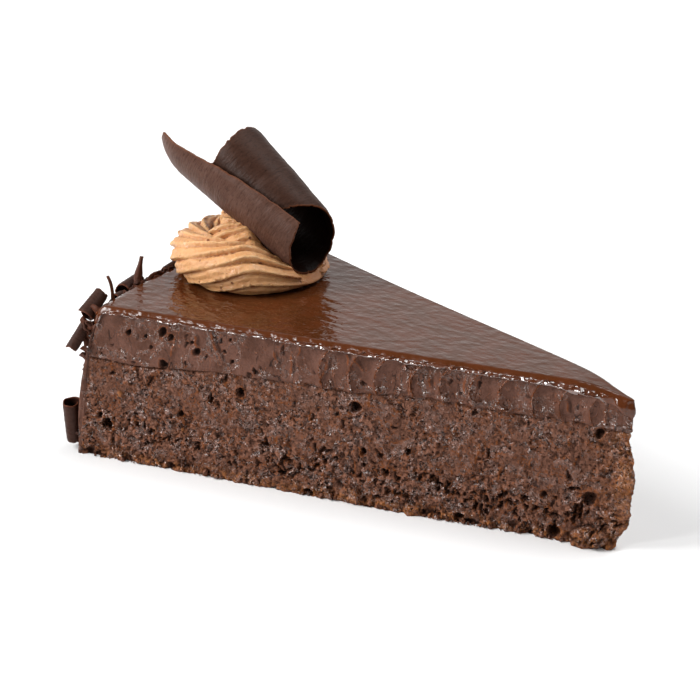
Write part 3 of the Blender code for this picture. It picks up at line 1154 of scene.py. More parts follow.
@dataclass
class CutLayer:
    """A layer of the slice, whose cut faces carry relief."""

    plan: Plan
    wedge: Wedge
    node: str = ""
    slot: Slot = Slot.CAKE
    seed: int = 1
    cap_step: int = 6
    holes: tuple[Spot, ...] = ()
    strokes: int = 60
    stroke_length: tuple[float, float] = (0.0010, 0.0050)
    pits: int = 60
    clusters: int = 0
    cluster_height: float = 0.0070
    ragged: float = 3.2
    ragged_cluster: float = 3.6
    cut_span: tuple[float, float] = (0.004, 0.122)
    # how far below its surroundings a point must lie to get full painted shade
    hollow_depth: float = 0.00034

    def low(self, radius: np.ndarray) -> np.ndarray:
        """Height of the layer's underside."""
        return np.zeros_like(radius)

    def high(self, radius: np.ndarray) -> np.ndarray:
        """Height of the layer's top."""
        return self.plan.join(radius)

    def end(self, height: np.ndarray) -> np.ndarray:
        """Radius of the layer's outer wall, were it to reach the rim."""
        return self.plan.rim(height)

    def texture(self, relief: Relief, base: np.ndarray, noise: SmoothNoise) -> None:
        """Adds the relief that covers every wall: none on a plain layer."""

    def paint(self, relief: Relief, base: np.ndarray) -> None:
        """Adds the texture, then the front cut's own holes and many random ones.

        Args:
            relief: The relief to paint on.
            base: The wall's points without relief.
        """
        self.texture(relief, base, SmoothNoise(self.seed))
        draw = np.random.default_rng(self.seed)
        for spot in self.holes:
            radius, height, size, depth = spot.metres()
            relief.pit(self.wedge.along(radius, -1), height, size, 1.5 * depth, spot.tall)
        for side in (-1, 1):
            for _ in range(self.pits):
                radius = draw.uniform(*self.cut_span)
                low, high = self.low(radius), self.high(radius)
                height = float(low + draw.uniform(0.03, 0.96) * (high - low))
                size = 0.00018 + 0.00034 * draw.random() ** 2.5
                run, tall = self.wedge.along(radius, side), draw.uniform(0.8, 2.2)
                relief.pit(run, height, size, size * 0.9, tall, self.ragged)
            for _ in range(self.clusters):
                radius, height = draw.uniform(0.004, 0.120), draw.normal(self.cluster_height, 0.0022)
                for _ in range(draw.integers(2, 6)):
                    size = draw.uniform(0.00024, 0.00058)
                    run = self.wedge.along(radius + draw.normal(0, 0.0011), side)
                    up = max(0.001, height + draw.normal(0, 0.0007))
                    relief.pit(run, up, size, size * 1.3, draw.uniform(0.5, 1.5), self.ragged_cluster)
            for _ in range(self.strokes):
                radius = draw.uniform(*self.cut_span)
                length = draw.uniform(*self.stroke_length)
                room = float(self.high(radius) - self.low(radius)) - length * 0.8
                height = float(self.low(radius)) + draw.uniform(0.0, 1.0) * room
                width, lift = draw.uniform(0.00022, 0.00040), draw.uniform(0.00010, 0.00028)
                lean = draw.normal(0, 0.18)
                relief.stroke(self.wedge.along(radius, side), height, length, lean, width, lift)

    def build(self, material: Material) -> bpy.types.Object:
        """Builds the layer in the place of its solid.

        Args:
            material: Its finish.

        Returns:
            The piece.
        """
        plan, wedge = self.plan, self.wedge
        lip = self.end(np.array(plan.shoulder_foot))
        flat = plan.stretch(wedge.share, lip, wedge.turn)
        low, high = self.low(flat), self.high(flat)
        height = low[:, None] + (high - low)[:, None] * wedge.zeta
        radius = plan.stretch(wedge.share[:, None], self.end(height), wedge.turn[:, None])
        radius = radius + plan.chewed(height) * (1 - wedge.share[:, None]) ** 14
        base = plan.spot(radius, wedge.turn[:, None], height)
        relief = Relief(wedge.run, height)
        self.paint(relief, base)
        wall = base + wedge.outward()[:, None, :] * relief.out[..., None]
        points, faces = [wall.reshape(-1, 3)], wedge.wall_faces().tolist()
        for row, level in ((0, self.low), (wedge.rows, self.high)):
            first = sum(len(p) for p in points)
            more, share, turn = wedge.cap(row, self.cap_step, first)
            faces += more
            where = plan.stretch(share, lip, turn)
            heights = level(where)
            where = where + plan.chewed(heights) * (1 - share) ** 14
            points.append(plan.spot(where, turn, heights))
        inside = np.zeros(sum(len(p) for p in points[1:]))
        marks = {
            name: np.concatenate([values.ravel(), inside])
            for name, values in (
                # painted shade: the pits, and every point that lies below its surroundings, are darkened by
                # the finish
                ("hollow", np.maximum(relief.hollow, furrowed(relief.out, 3, self.hollow_depth) * 0.85)),
                ("smear", relief.smear),
                ("crust", relief.crust),
                ("rough", relief.rough),
            )
        }
        piece = mesh_piece(self.node + "_cut", np.concatenate(points), faces, marks)
        seat_piece(piece, self.slot, material, self.node)
        return piece


@dataclass
class CakeLayer(CutLayer):
    """The dense cake: crumbly, with air holes and a ragged baked foot."""

    node: str = "cake_layer"
    seed: int = 11
    strokes: int = 40
    pits: int = 170
    clusters: int = 62
    holes: tuple[Spot, ...] = (
        Spot(88.0, 21.2, 1.0, 1.2), Spot(102.8, 13.6, 0.75, 0.8), Spot(121.0, 8.3, 1.3, 1.3),
        Spot(123.0, 9.9, 0.8, 0.8), Spot(95.2, 18.7, 0.5, 0.9, 2.6), Spot(60.9, 22.2, 1.3, 1.0),
        Spot(63.8, 18.0, 0.35, 0.7, 3.0), Spot(58.9, 12.6, 0.75, 0.8), Spot(48.9, 14.2, 0.75, 0.8),
        Spot(65.4, 9.7, 0.6, 0.6), Spot(53.5, 8.5, 0.5, 0.6, 1.6), Spot(51.0, 7.7, 0.5, 0.5),
        Spot(42.2, 6.8, 0.6, 0.6), Spot(39.8, 6.6, 0.6, 0.5), Spot(71.7, 0.9, 1.2, 1.0, 0.6),
        Spot(37.3, 1.4, 1.2, 1.0, 0.6), Spot(7.5, 25.4, 1.1, 0.8), Spot(31.2, 17.1, 0.35, 0.7, 3.0),
        Spot(9.6, 10.6, 1.4, 0.7, 1.2), Spot(19.0, 9.8, 0.75, 0.7), Spot(13.3, 12.2, 0.6, 0.5),
        Spot(16.4, 1.8, 1.6, 1.3, 0.8),
    )
    band_height: float = 0.0075
    crumb: float = 0.00046
    crease: float = 0.00040
    torn: float = 0.00050
    foot_lump: float = 0.00130
    tip_lump: float = 0.00070
    lumps: tuple[Spot, ...] = (
        Spot(62.0, 1.9, 2.4, 1.1, 0.8), Spot(47.9, 0.9, 1.8, 0.9, 0.8), Spot(7.8, 1.6, 4.6, 2.2, 0.6),
        Spot(118.0, 16.0, 0.8, 0.35), Spot(62.9, 11.1, 0.6, 0.3, 2.0), Spot(3.0, 16.5, 2.4, 0.5, 1.6),
    )

    def texture(self, relief: Relief, base: np.ndarray, noise: SmoothNoise) -> None:
        """Adds waves, crumb and the ragged foot, and marks painted shade along the torn top and in the
        foot's gaps.

        Args:
            relief: The relief so far.
            base: The wall's points without relief.
            noise: The layer's noise.
        """
        band = bump((relief.height - self.band_height) / 0.0040)
        away = np.abs(relief.run[:, None] - self.wedge.tip_run)
        near_rim = 0.14 * smooth(away, 0.080, 0.110)
        relief.rough = smooth(noise.layered(base, 0.007, 2) + 0.42 * band + near_rim, -0.35, 0.40)
        crumb = noise.layered(base, 0.0017, 3, 0.6)
        crease = np.clip(1 - 2.6 * np.abs(noise.layered(base + 0.05, 0.0017, 2)), 0, 1) ** 1.5
        relief.out += 0.00035 * noise.at(base + 0.2, 0.013) + 0.00022 * noise.at(base, 0.004)
        relief.out += (self.crumb * crumb - self.crease * crease) * (0.30 + 0.80 * relief.rough)
        gap = relief.height[:, -1:] - relief.height
        broken = np.clip(0.60 + 1.5 * noise.layered(base + 0.6, 0.0028, 3), 0, 1)
        relief.out -= self.torn * broken * bump((gap - 0.0003) / 0.0004)
        # painted shade along the torn line under the mousse
        relief.hollow = 0.8 * broken * bump((gap - 0.0003) / 0.00035)
        foot = smooth(-relief.height, -0.0034, -0.0008)
        lump = noise.layered(base + 0.4, 0.0027, 3, 0.6)
        relief.out += foot * (self.foot_lump * lump - 0.00006)
        # painted shade in the gaps between the foot's lumps
        relief.hollow = np.maximum(relief.hollow, foot * smooth(-lump, 0.10, 0.32))
        relief.crust = np.clip(foot * (0.55 + 1.4 * lump), 0, 1)
        tip = bump((relief.run[:, None] - self.wedge.tip_run) / 0.005)
        relief.crust = np.maximum(relief.crust, 0.55 * tip * np.ones_like(relief.height))
        relief.out += self.tip_lump * tip * noise.layered(base + 0.8, 0.0024, 3, 0.6)
        for spot in self.lumps:
            radius, height, size, lift = spot.metres()
            relief.lump(self.wedge.along(radius, -1), height, size, lift, spot.tall)


@dataclass
class MousseLayer(CutLayer):
    """The mousse over the cake and down the rim: smooth, pulled by the knife into shallow facets."""

    node: str = "mousse_layer"
    slot: Slot = Slot.MOUSSE
    seed: int = 23
    strokes: int = 14
    stroke_length: tuple[float, float] = (0.0020, 0.0065)
    pits: int = 40
    overlap: float = 0.0008
    facet: float = 0.0066
    scallop: float = 0.00105
    drag_place: float = 0.0928
    holes: tuple[Spot, ...] = (
        Spot(117.0, 30.8, 0.7, 0.7), Spot(112.1, 30.5, 0.5, 0.4), Spot(107.8, 32.2, 1.05, 0.9),
        Spot(105.5, 31.2, 0.75, 0.6), Spot(98.8, 28.8, 0.9, 0.8), Spot(100.0, 30.8, 0.5, 0.4),
        Spot(107.0, 24.6, 1.1, 0.8), Spot(110.5, 28.2, 0.45, 0.4), Spot(91.9, 29.9, 0.5, 0.4),
        Spot(90.0, 27.9, 0.5, 0.4), Spot(90.4, 32.9, 0.4, 0.35),
    )

    def low(self, radius: np.ndarray) -> np.ndarray:
        """The mousse lies on the cake, and reaches the base outside its rim."""
        return np.where(radius < self.plan.coat_start, self.plan.join(radius) - 0.0002, 0.0)

    def high(self, radius: np.ndarray) -> np.ndarray:
        """The mousse's top lies in the glaze, and bends down at the shoulder."""
        return self.plan.under_glaze(radius, self.overlap)

    def end(self, height: np.ndarray) -> np.ndarray:
        """The rim's outside, set back where the glaze covers it."""
        foot = self.plan.glaze_foot
        return self.plan.rim(height) - self.overlap * smooth(height, foot - 0.0008, foot + 0.0004)

    def texture(self, relief: Relief, base: np.ndarray, noise: SmoothNoise) -> None:
        """Adds waves, knife facets, a rough ledge over the cake and one long drag on each cut.

        Args:
            relief: The relief so far.
            base: The wall's points without relief.
            noise: The layer's noise.
        """
        relief.rough = smooth(noise.layered(base, 0.008, 2), -0.05, 0.35)
        out = relief.run[:, None]
        away = np.abs(out - self.wedge.tip_run)
        foot, crown = relief.height[:, :1], relief.height[:, -1:]
        rise = (relief.height - foot) / (crown - foot)
        bent = 0.0016 * noise.at(base * np.array([1, 1, 0.2]), 0.009) - 0.0075 * np.square(rise - 0.35)
        facet = (out + bent) / self.facet
        scallop = (2 * (facet - np.floor(facet)) - 1) ** 2
        share = smooth(0.078 - away, 0.0, 0.010) * smooth(away, 0.004, 0.010)
        relief.out += self.scallop * (scallop - 0.4) * share + 0.00030 * noise.at(base + 0.2, 0.014)
        fold = smooth(scallop, 0.70, 1.0) * share
        relief.smear = 0.75 * fold
        relief.rough = np.maximum(relief.rough, 2 * fold)
        near = bump((relief.height - foot - 0.0011) / 0.0011)
        near = near * np.clip(0.2 + 1.9 * noise.layered(base + 0.3, 0.006, 2), 0, 1)
        relief.rough = np.maximum(relief.rough, 1.9 * near)
        ledge = bump((relief.height - foot - 0.0004) / 0.0004)
        relief.out += 0.00028 * ledge * (0.5 + noise.layered(base + 0.6, 0.0040, 2))
        drawn = base * np.array([1, 1, 0.45])
        relief.out += 0.00018 * noise.layered(drawn, 0.0026, 3, 0.55)
        relief.out += 0.00006 * noise.layered(base, 0.0011, 2) * (0.3 + np.minimum(relief.rough, 1))
        for side in (-1, 1):
            run = self.wedge.along(self.drag_place, side)
            relief.stroke(run, 0.0278, 0.0066, -0.45, 0.00045, 0.00040)


@dataclass
class GlazeLayer:
    """The poured glaze: a glossy skin with a rounded edge that hangs over the cut."""

    plan: Plan
    wedge: Wedge
    roll: float = 0.0009
    proud: float = 0.00022
    cover: float = 0.0015
    seed: int = 31
    radii: tuple[float, ...] = (0, 1.0, 3.6, 8, 12, 20, 29, 36, 44, 62, 85, 109, 121, 130)
    hang: tuple[float, ...] = (5.6, 4.4, 2.6, 2.4, 2.5, 2.1, 1.85, 1.9, 1.7, 1.55, 1.6, 1.5, 1.6, 1.6)

    def profile(self) -> tuple[np.ndarray, np.ndarray, np.ndarray]:
        """The glaze's outside from the axis over the shoulder and down to its foot.

        Returns:
            Length along it, its radius and its height.
        """
        plan = self.plan
        edge, low = plan.shoulder_edge, plan.shoulder_foot
        flat = np.linspace(0, edge, 600)
        angle = np.linspace(math.pi / 2, math.radians(8), 60)[1:]
        radius = np.concatenate([flat, edge + plan.shoulder * np.cos(angle)])
        height = np.concatenate([plan.top(flat), low + plan.shoulder * np.sin(angle)])
        down = np.linspace(height[-1], plan.glaze_foot, 12)[1:]
        radius = np.concatenate([radius, radius[-1] + (plan.rim(down) - plan.rim(height[-1]))])
        height = np.concatenate([height, down])
        length = np.concatenate([[0], np.cumsum(np.hypot(np.diff(radius), np.diff(height)))])
        return length, radius, height

    def build(self, material: Material) -> bpy.types.Object:
        """Builds the glaze in the place of its solid.

        Args:
            material: Its finish.

        Returns:
            The piece.
        """
        plan, wedge = self.plan, self.wedge
        noise = SmoothNoise(self.seed)
        length, radii, heights = self.profile()
        slope = unit(np.stack([np.gradient(radii, length), np.gradient(heights, length)], -1))

        def place(share: np.ndarray, turn: np.ndarray, depth: np.ndarray) -> tuple[np.ndarray, np.ndarray]:
            """Places on the glaze.

            Args:
                share: 0 at the tip and 1 at the glaze's foot on the rim.
                turn: -1 on the front cut, 1 on the back cut.
                depth: How far below the outside.

            Returns:
                The points, and their radius.
            """
            start = plan.blunt + (plan.corner - plan.blunt) * turn**2
            drip = 0.0007 * noise.at(np.stack([turn * 0.03, 0 * turn, 0 * turn], -1), 0.0045)
            s = start + (length[-1] - self.roll * 0.6 + drip - start) * share
            radius, height = np.interp(s, length, radii), np.interp(s, length, heights)
            way = unit(np.stack([np.interp(s, length, slope[:, k]) for k in (0, 1)], -1))
            radius, height = radius + way[..., 1] * depth, height - way[..., 0] * depth
            point = plan.spot(radius, turn, height)
            wave = 0.00006 * noise.at(point, 0.011) + 0.00002 * noise.at(point, 0.004)
            point[..., 2] += wave * (depth <= 0)
            return point, radius

        def rolled(radius: np.ndarray) -> np.ndarray:
            """How wide the edge's rounding is, less where the slice is narrow."""
            return np.minimum(self.roll, 0.5 * radius * math.sin(plan.half_angle))

        share, turn = wedge.share, wedge.turn
        _, reach = place(share, turn, np.zeros(wedge.columns))
        roll = rolled(reach)
        hang = np.interp(reach * 1000, self.radii, self.hang) * MILLIMETRE
        on_cut = (share > 0) & (share < 1)
        mark = np.stack([wedge.run, 0 * wedge.run, 0 * wedge.run], -1)
        hang = hang * (1 + 0.30 * noise.layered(mark, 0.0075, 3))
        hang = hang + 0.00050 * noise.layered(mark + 0.1, 0.0028, 2)
        hang = np.where(share >= 1, self.cover, hang)
        lip = self.proud * (1.5 + 2.5 * smooth(noise.layered(mark + 0.3, 0.0040, 3), -0.25, 0.35))
        bead = 0.00042 * smooth(noise.layered(mark + 0.7, 0.0032, 2), -0.40, 0.30)
        outward = wedge.outward()
        end_way = np.stack([-0.15 * np.cos(turn * plan.half_angle), 0 * turn, -np.ones(wedge.columns)], -1)
        outward = np.where((share >= 1)[:, None], unit(end_way), outward)
        corner = (share >= 1) & (np.abs(turn) >= 1)
        outward[corner] = unit(unit(end_way[corner]) + wedge.outward()[corner])
        rows = []
        for down in 1 - wedge.zeta:
            bend = min(1.0, down / 0.34) * math.pi / 2
            depth = roll * (1 - math.cos(bend)) + (hang - roll) * smooth(down, 0.30, 0.86)
            depth = depth + (self.cover - hang) * smooth(down, 0.92, 1.0)
            offset = -roll * (1 - math.sin(bend))
            offset = offset + lip * np.where(on_cut, 1.0, 0.5) * smooth(down, 0.10, 0.66)
            offset = offset + bead * bump((down - 0.62) / 0.12)
            offset = offset - smooth(down, 0.70, 1.0) * (roll * 0.5 + lip)
            rows.append(place(share, turn, depth)[0] + outward * offset[:, None])
        wall = np.stack(rows, 1)
        faces = wedge.wall_faces().tolist()
        points = [wall.reshape(-1, 3)]
        from_tip = 0.38 + 0.62 * smooth(np.abs(wedge.run - wedge.tip_run), 0.0025, 0.0100)
        edge_mark = [(from_tip[:, None] * np.linspace(1, 0, wedge.rows + 1) ** 0.7).ravel()]
        for row, step, depth in ((0, 11, self.cover), (wedge.rows, 1, 0.0)):
            first = sum(len(p) for p in points)
            more, own_share, own_turn = wedge.cap(row, step, first)
            faces += more
            point, radius = place(own_share, own_turn, np.full(len(own_share), depth))
            inward = rolled(radius) * (1.0 if depth == 0 else 1.6) * own_turn
            point[:, 1] -= inward * math.cos(plan.half_angle)
            points.append(point)
            edge_mark.append(np.zeros(len(point)))
        piece = mesh_piece("glaze_skin", np.concatenate(points), faces, {"edge": np.concatenate(edge_mark)})
        seat_piece(piece, Slot.GLAZE, material, "glaze_layer")
        return piece


# ---- The rosette ----
@dataclass
class Rosette:
    """A rope of cream wound up through a star nozzle, dented where the curl lies on it.

    The offset is from the middle of its solid's box to the middle of the rope's ring.
    """

    start: float = math.radians(-130)
    turns: float = 1.87
    rope: float = 0.0059
    ring: float = 0.0122
    ridges: int = 10
    depth: float = 0.24
    skew: float = 0.45
    climb: float = math.radians(430)
    late_turn: float = 1.2
    press_angle: float = math.radians(34)
    press_width: float = math.radians(92)
    press_share: float = 0.60
    offset: tuple[float, float] = (0.00021, 0.00049)
    # the level direction towards the side that the curl shades, where a shadow is painted
    curl_shadow_side: Triple = (0.786, 0.618, 0.0)
    voxel: float = 0.00023
    seed: int = 41

    def rope_centre(self, turn: np.ndarray) -> tuple[np.ndarray, np.ndarray]:
        """The rope's course.

        Args:
            turn: Turns from its start.

        Returns:
            The rope's middle there, and its radius.
        """
        tail, heart = smooth(turn, 1.42, 1.87), 1 - smooth(turn, 0, 0.6)
        ring = 0.0034 + (self.ring - 0.0034) * smooth(turn, 0, 0.78) - 0.0067 * tail
        angle = self.start + math.tau * turn
        height = 0.0050 - 0.0009 * np.maximum(0, np.cos(angle - math.radians(140)))
        height = height + 0.0070 * tail + 0.0010 * heart
        thick = self.rope * (1 - 0.50 * tail + 0.22 * heart)
        return np.stack([ring * np.cos(angle), ring * np.sin(angle), height], -1), thick

    def pressed(self, points: np.ndarray) -> np.ndarray:
        """Share of its height that the cream keeps, which is less on the curl's side.

        Args:
            points: Points of the unpressed cream.

        Returns:
            The share at each point.
        """
        away = np.abs(np.arctan2(points[..., 1], points[..., 0]) - self.press_angle)
        reach = smooth((self.press_width - away) / self.press_width * 1.35)
        return 1 - self.press_share * reach * smooth(np.hypot(points[..., 0], points[..., 1]), 0, 0.007)

    def surface(self, rings: int, around: int) -> np.ndarray:
        """The rope's points.

        Args:
            rings: How many rings lie along it.
            around: How many points lie round it.

        Returns:
            The points, ring by ring.
        """
        turn = np.linspace(0, self.turns, rings)
        centre, thick = self.rope_centre(turn)
        ahead = unit(self.rope_centre(turn + 0.01)[0] - self.rope_centre(turn - 0.01)[0])
        across = unit(np.cross(ahead, [0, 0, 1.0]))
        upward = np.cross(across, ahead)
        angle = np.linspace(0, math.tau, around, endpoint=False)
        late = np.maximum(0, turn - self.late_turn)
        twist = self.climb * (turn - 1.5 * late**2 / (late + 0.08))
        phase = (angle[None] - twist[:, None]) * self.ridges / 2
        noise = SmoothNoise(self.seed)
        spot = np.stack(
            np.broadcast_arrays(3 * np.cos(angle)[None], 3 * np.sin(angle)[None], 9 * turn[:, None]), -1
        )
        phase = phase + 0.50 * noise.layered(spot, 2.6, 3)
        crest = np.abs(np.cos(phase + self.skew * np.cos(2 * phase)))
        depth = self.depth * (1 + 1.1 * noise.at(spot + 7, 2.2))
        reach = thick[:, None] * (1 - depth * (1.03 - crest) + 0.060 * noise.layered(spot + 3, 1.5, 2))
        ways = np.cos(angle)[None, :, None] * across[:, None]
        ways = ways + np.sin(angle)[None, :, None] * upward[:, None]
        points = centre[:, None] + reach[..., None] * ways
        points[..., 2] = np.maximum(points[..., 2], 0)
        points[..., 2] *= self.pressed(points)
        return points

    def build(self, seat: bpy.types.Object, material: Material) -> bpy.types.Object:
        """Builds the rosette in the place of its solid.

        Args:
            seat: The body of the curl, which is cut out of it.
            material: Its finish.

        Returns:
            The piece.
        """
        rings, around = ((520, 196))
        points = self.surface(rings, around)
        low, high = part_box("rosette")
        aside, back = self.offset
        centre = np.array([(low.x + high.x) / 2 + aside, (low.y + high.y) / 2 + back, low.z])
        piece = mesh_piece("rosette_piped", points.reshape(-1, 3) + centre, tube_faces(rings, around))
        fuse = piece.modifiers.new("fuse", "REMESH")
        fuse.mode = "VOXEL"
        fuse.voxel_size = self.voxel
        cut = piece.modifiers.new("seat", "BOOLEAN")
        cut.operation = "DIFFERENCE"
        cut.solver = "EXACT"
        cut.object = seat
        baked(piece)
        self.roughen(piece.data, centre)
        seat_piece(piece, Slot.CREAM, material, "rosette")
        return piece

    def roughen(self, mesh: bpy.types.Mesh, centre: np.ndarray) -> None:
        """Adds soft lumps, tears and pores, and marks the crests for a painted highlight and the grooves
        and the side under the curl for painted shade.

        Args:
            mesh: The cream's mesh.
            centre: The middle of its foot.
        """
        noise = SmoothNoise(self.seed)
        points, normals = vectors_of(mesh, "co"), vectors_of(mesh, "normal")
        edges = np.empty(len(mesh.edges) * 2, np.int32)
        mesh.edges.foreach_get("vertices", edges)
        one, other = edges.reshape(-1, 2).T
        count = np.bincount(np.concatenate([one, other]), minlength=len(points))[:, None]
        soft = points
        for _ in range(14):
            total = np.zeros_like(soft)
            np.add.at(total, one, soft[other])
            np.add.at(total, other, soft[one])
            soft = 0.4 * soft + 0.6 * total / np.maximum(count, 1)
        stand = ((points - soft) * normals).sum(-1)
        tears = noise.layered(points, 0.0016, 3, 0.6)
        out = 0.00017 * noise.layered(points, 0.0026, 2) + 0.00011 * tears
        crest = smooth(stand, 0.00002, 0.00016)
        out += 0.30 * np.clip(stand, -0.00030, 0.00022)
        out -= 0.00020 * crest * smooth(noise.at(points, 0.0012), 0.22, 0.50)
        low = points[:, 2] < centre[2] + 0.0002
        move_points(mesh, points + normals * np.where(low, 0, out)[:, None])
        right = (points - centre) @ np.array(self.curl_shadow_side)
        # painted shade in the grooves, and a painted shadow on the side under the curl
        sunk = np.maximum(smooth(-stand, 0.00002, 0.00020), smooth(right, 0.0080, 0.0135))
        # no painted highlight on the crests inside the curl's painted shadow
        crest = crest * (1 - smooth(right, 0.0065, 0.0115))
        for name, values in (("crest", crest), ("hollow", sunk)):
            mesh.attributes.new(name, "FLOAT", "POINT").data.foreach_set("value", values.astype(np.float32))


# ---- The large curl ----
@dataclass
class LargeCurl:
    """A sheet of chocolate shaved into a roll that opens into a flap at its far end.

    Angles round the roll are counted from the side that zero_way points to.
    """

    thickness: float = 0.0008
    inner_end: float = math.radians(485)
    length: float = 0.0272
    flap: float = 0.0404
    seed: int = 53
    start_angle: float = math.radians(85)
    mouth_offset: Triple = (0.018274, -0.000665, -0.006471)
    zero_way: Triple = (0.4165, 0.6478, 0.637)
    axis: np.ndarray = field(default_factory=lambda: unit(np.array([-0.858, 0.050, 0.511])))

    def __post_init__(self) -> None:
        """Finds the roll's place from its solid's box."""
        low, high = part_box("large_curl")
        middle = np.array([(a + b) / 2 for a, b in zip(low, high)])
        self.start = middle + np.array(self.mouth_offset)
        self.front = unit(np.cross(self.zero_way, self.axis))
        self.side = np.cross(self.axis, self.front)

    def radius(self, angle: np.ndarray, along: np.ndarray) -> np.ndarray:
        """The roll's radius, which widens along it and tightens inwards.

        Args:
            angle: Angle round the roll, counted on past a full turn.
            along: Distance along its axis.

        Returns:
            The radius.
        """
        outer = 0.0075 + 0.090 * along - 0.0048 * smooth(along, 0.033, 0.049)
        inner = 0.0067 + 0.054 * along
        share = smooth(angle, math.radians(190), math.radians(360))
        tighter = 0.0009 * np.maximum(0, angle - math.tau) / math.radians(120)
        return outer + (inner - outer) * share - tighter

    def near_edge(self, angle: np.ndarray) -> np.ndarray:
        """Where along the roll its near edge lies: it is nearest at 240 degrees."""
        early = 0.0048 * (np.maximum(240 - np.degrees(angle), 0) / 153) ** 1.6
        return -0.0041 + early + 0.0135 * (np.maximum(np.degrees(angle) - 240, 0) / 250) ** 1.3

    def far_edge(self, angle: np.ndarray) -> np.ndarray:
        """Where along the roll its far edge lies: the flap's end is farther than the roll's."""
        flap = (self.flap - self.length) * smooth(345 - np.degrees(angle), 0, 195)
        return self.length + flap + 0.0008 * np.sin((np.degrees(angle) - 340) / 32)

    def points(self, angle: np.ndarray, along: np.ndarray, extra: float = 0.0) -> np.ndarray:
        """Points of the roll.

        Args:
            angle: Angle round the roll.
            along: Distance along its axis.
            extra: How far outside the sheet's middle.

        Returns:
            The points, three numbers in the last axis.
        """
        reach = self.radius(angle, along) + extra
        around = np.cos(angle)[..., None] * self.side + np.sin(angle)[..., None] * self.front
        return self.start + along[..., None] * self.axis + reach[..., None] * around

    def seat(self) -> bpy.types.Object:
        """The roll's outer turn as a closed plug, slightly smaller than the roll.

        Returns:
            The plug, for a boolean cut.
        """
        rows, around = 24, 96
        angle = np.tile(math.radians(90) + np.linspace(0, math.tau, around, endpoint=False), (rows, 1))
        start, end = self.near_edge(angle) - 0.006, self.far_edge(angle) + 0.002
        along = start + (end - start) * np.linspace(0, 1, rows)[:, None]
        points = self.points(angle, along, self.thickness / 2 - 0.00005)
        return mesh_piece("curl_plug", points.reshape(-1, 3), tube_faces(rows, around))

    def build(self, material: Material, shadowed: Material) -> bpy.types.Object:
        """Builds the curl in the place of its solid.

        Args:
            material: Its finish.
            shadowed: A near-black copy of the chocolate, painted shade for the side that faces the roll's
                inside.

        Returns:
            The piece.
        """
        turns, rows = ((220, 120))
        noise = SmoothNoise(self.seed)
        share, way = np.linspace(0, 1, rows)[:, None], np.linspace(0, 1, turns)[None]
        free = self.start_angle + self.flap * share * 900 * math.pi / 180
        free = free + 13000 * (self.flap * share) ** 2 * math.pi / 180
        rim = np.stack([share * 0.05, 0 * share, 0 * share], -1)
        chips = np.clip(noise.layered(rim + np.array([0, 0, 0.4]), 0.0016, 2) - 0.25, 0, 1)
        free = free + 0.045 * noise.layered(rim, 0.0035, 3) - 0.05 * chips
        angle = free + (self.inner_end - free) * way
        edge = np.stack([angle * 0.010, 0 * angle, 0 * angle], -1)
        chips = np.clip(noise.layered(edge + 0.6, 0.0016, 2) - 0.15, 0, 1)
        near = self.near_edge(angle) + 0.00045 * noise.layered(edge, 0.0030, 3) + 0.0012 * chips
        far = self.far_edge(angle) + 0.00045 * noise.layered(edge + 0.3, 0.0026, 3) - 0.0012 * chips
        along = near + (far - near) * share
        flat = np.stack([angle * 0.010, along, 0 * along], -1)
        extra = 0.00016 * noise.at(flat, 0.009) + 0.00006 * noise.at(flat * np.array([0.35, 1, 1]), 0.0016)
        middle = self.points(angle, along, extra)
        rim_run = np.minimum(np.minimum((along - near), (far - along)), (angle - free) * 0.009)
        thin = 0.45 + 0.55 * smooth(rim_run, 0, 0.0016)
        sheet = SheetMesh(middle, self.thickness * thin)
        radial = middle - self.start - along[..., None] * self.axis
        outside = float((sheet.normal * radial).sum()) > 0
        lip = 1 - smooth(rim_run, 0.00008, 0.00034)
        # painted shade: the roll's inner turns on one side, and the other side towards the mouth, are
        # darkened
        deep = 0.5 * smooth(angle, math.radians(330), math.radians(400)) + 0 * along
        inner = 0.35 + 0.65 * smooth(along, self.flap * 0.9, self.length * 0.4)
        marks = sheet_marks((deep, inner) if outside else (inner, deep), lip, flat)
        piece = mesh_piece("large_curl_shaved", sheet.points, sheet.faces(), marks)
        seat_piece(piece, Slot.CHOCOLATE, material, "large_curl")
        piece.data.materials.append(shadowed)
        inner_side = (middle.shape[0] - 1) * (middle.shape[1] - 1)
        first = inner_side if outside else 0
        for face in piece.data.polygons[first : first + inner_side]:
            face.material_index = 1
        return piece


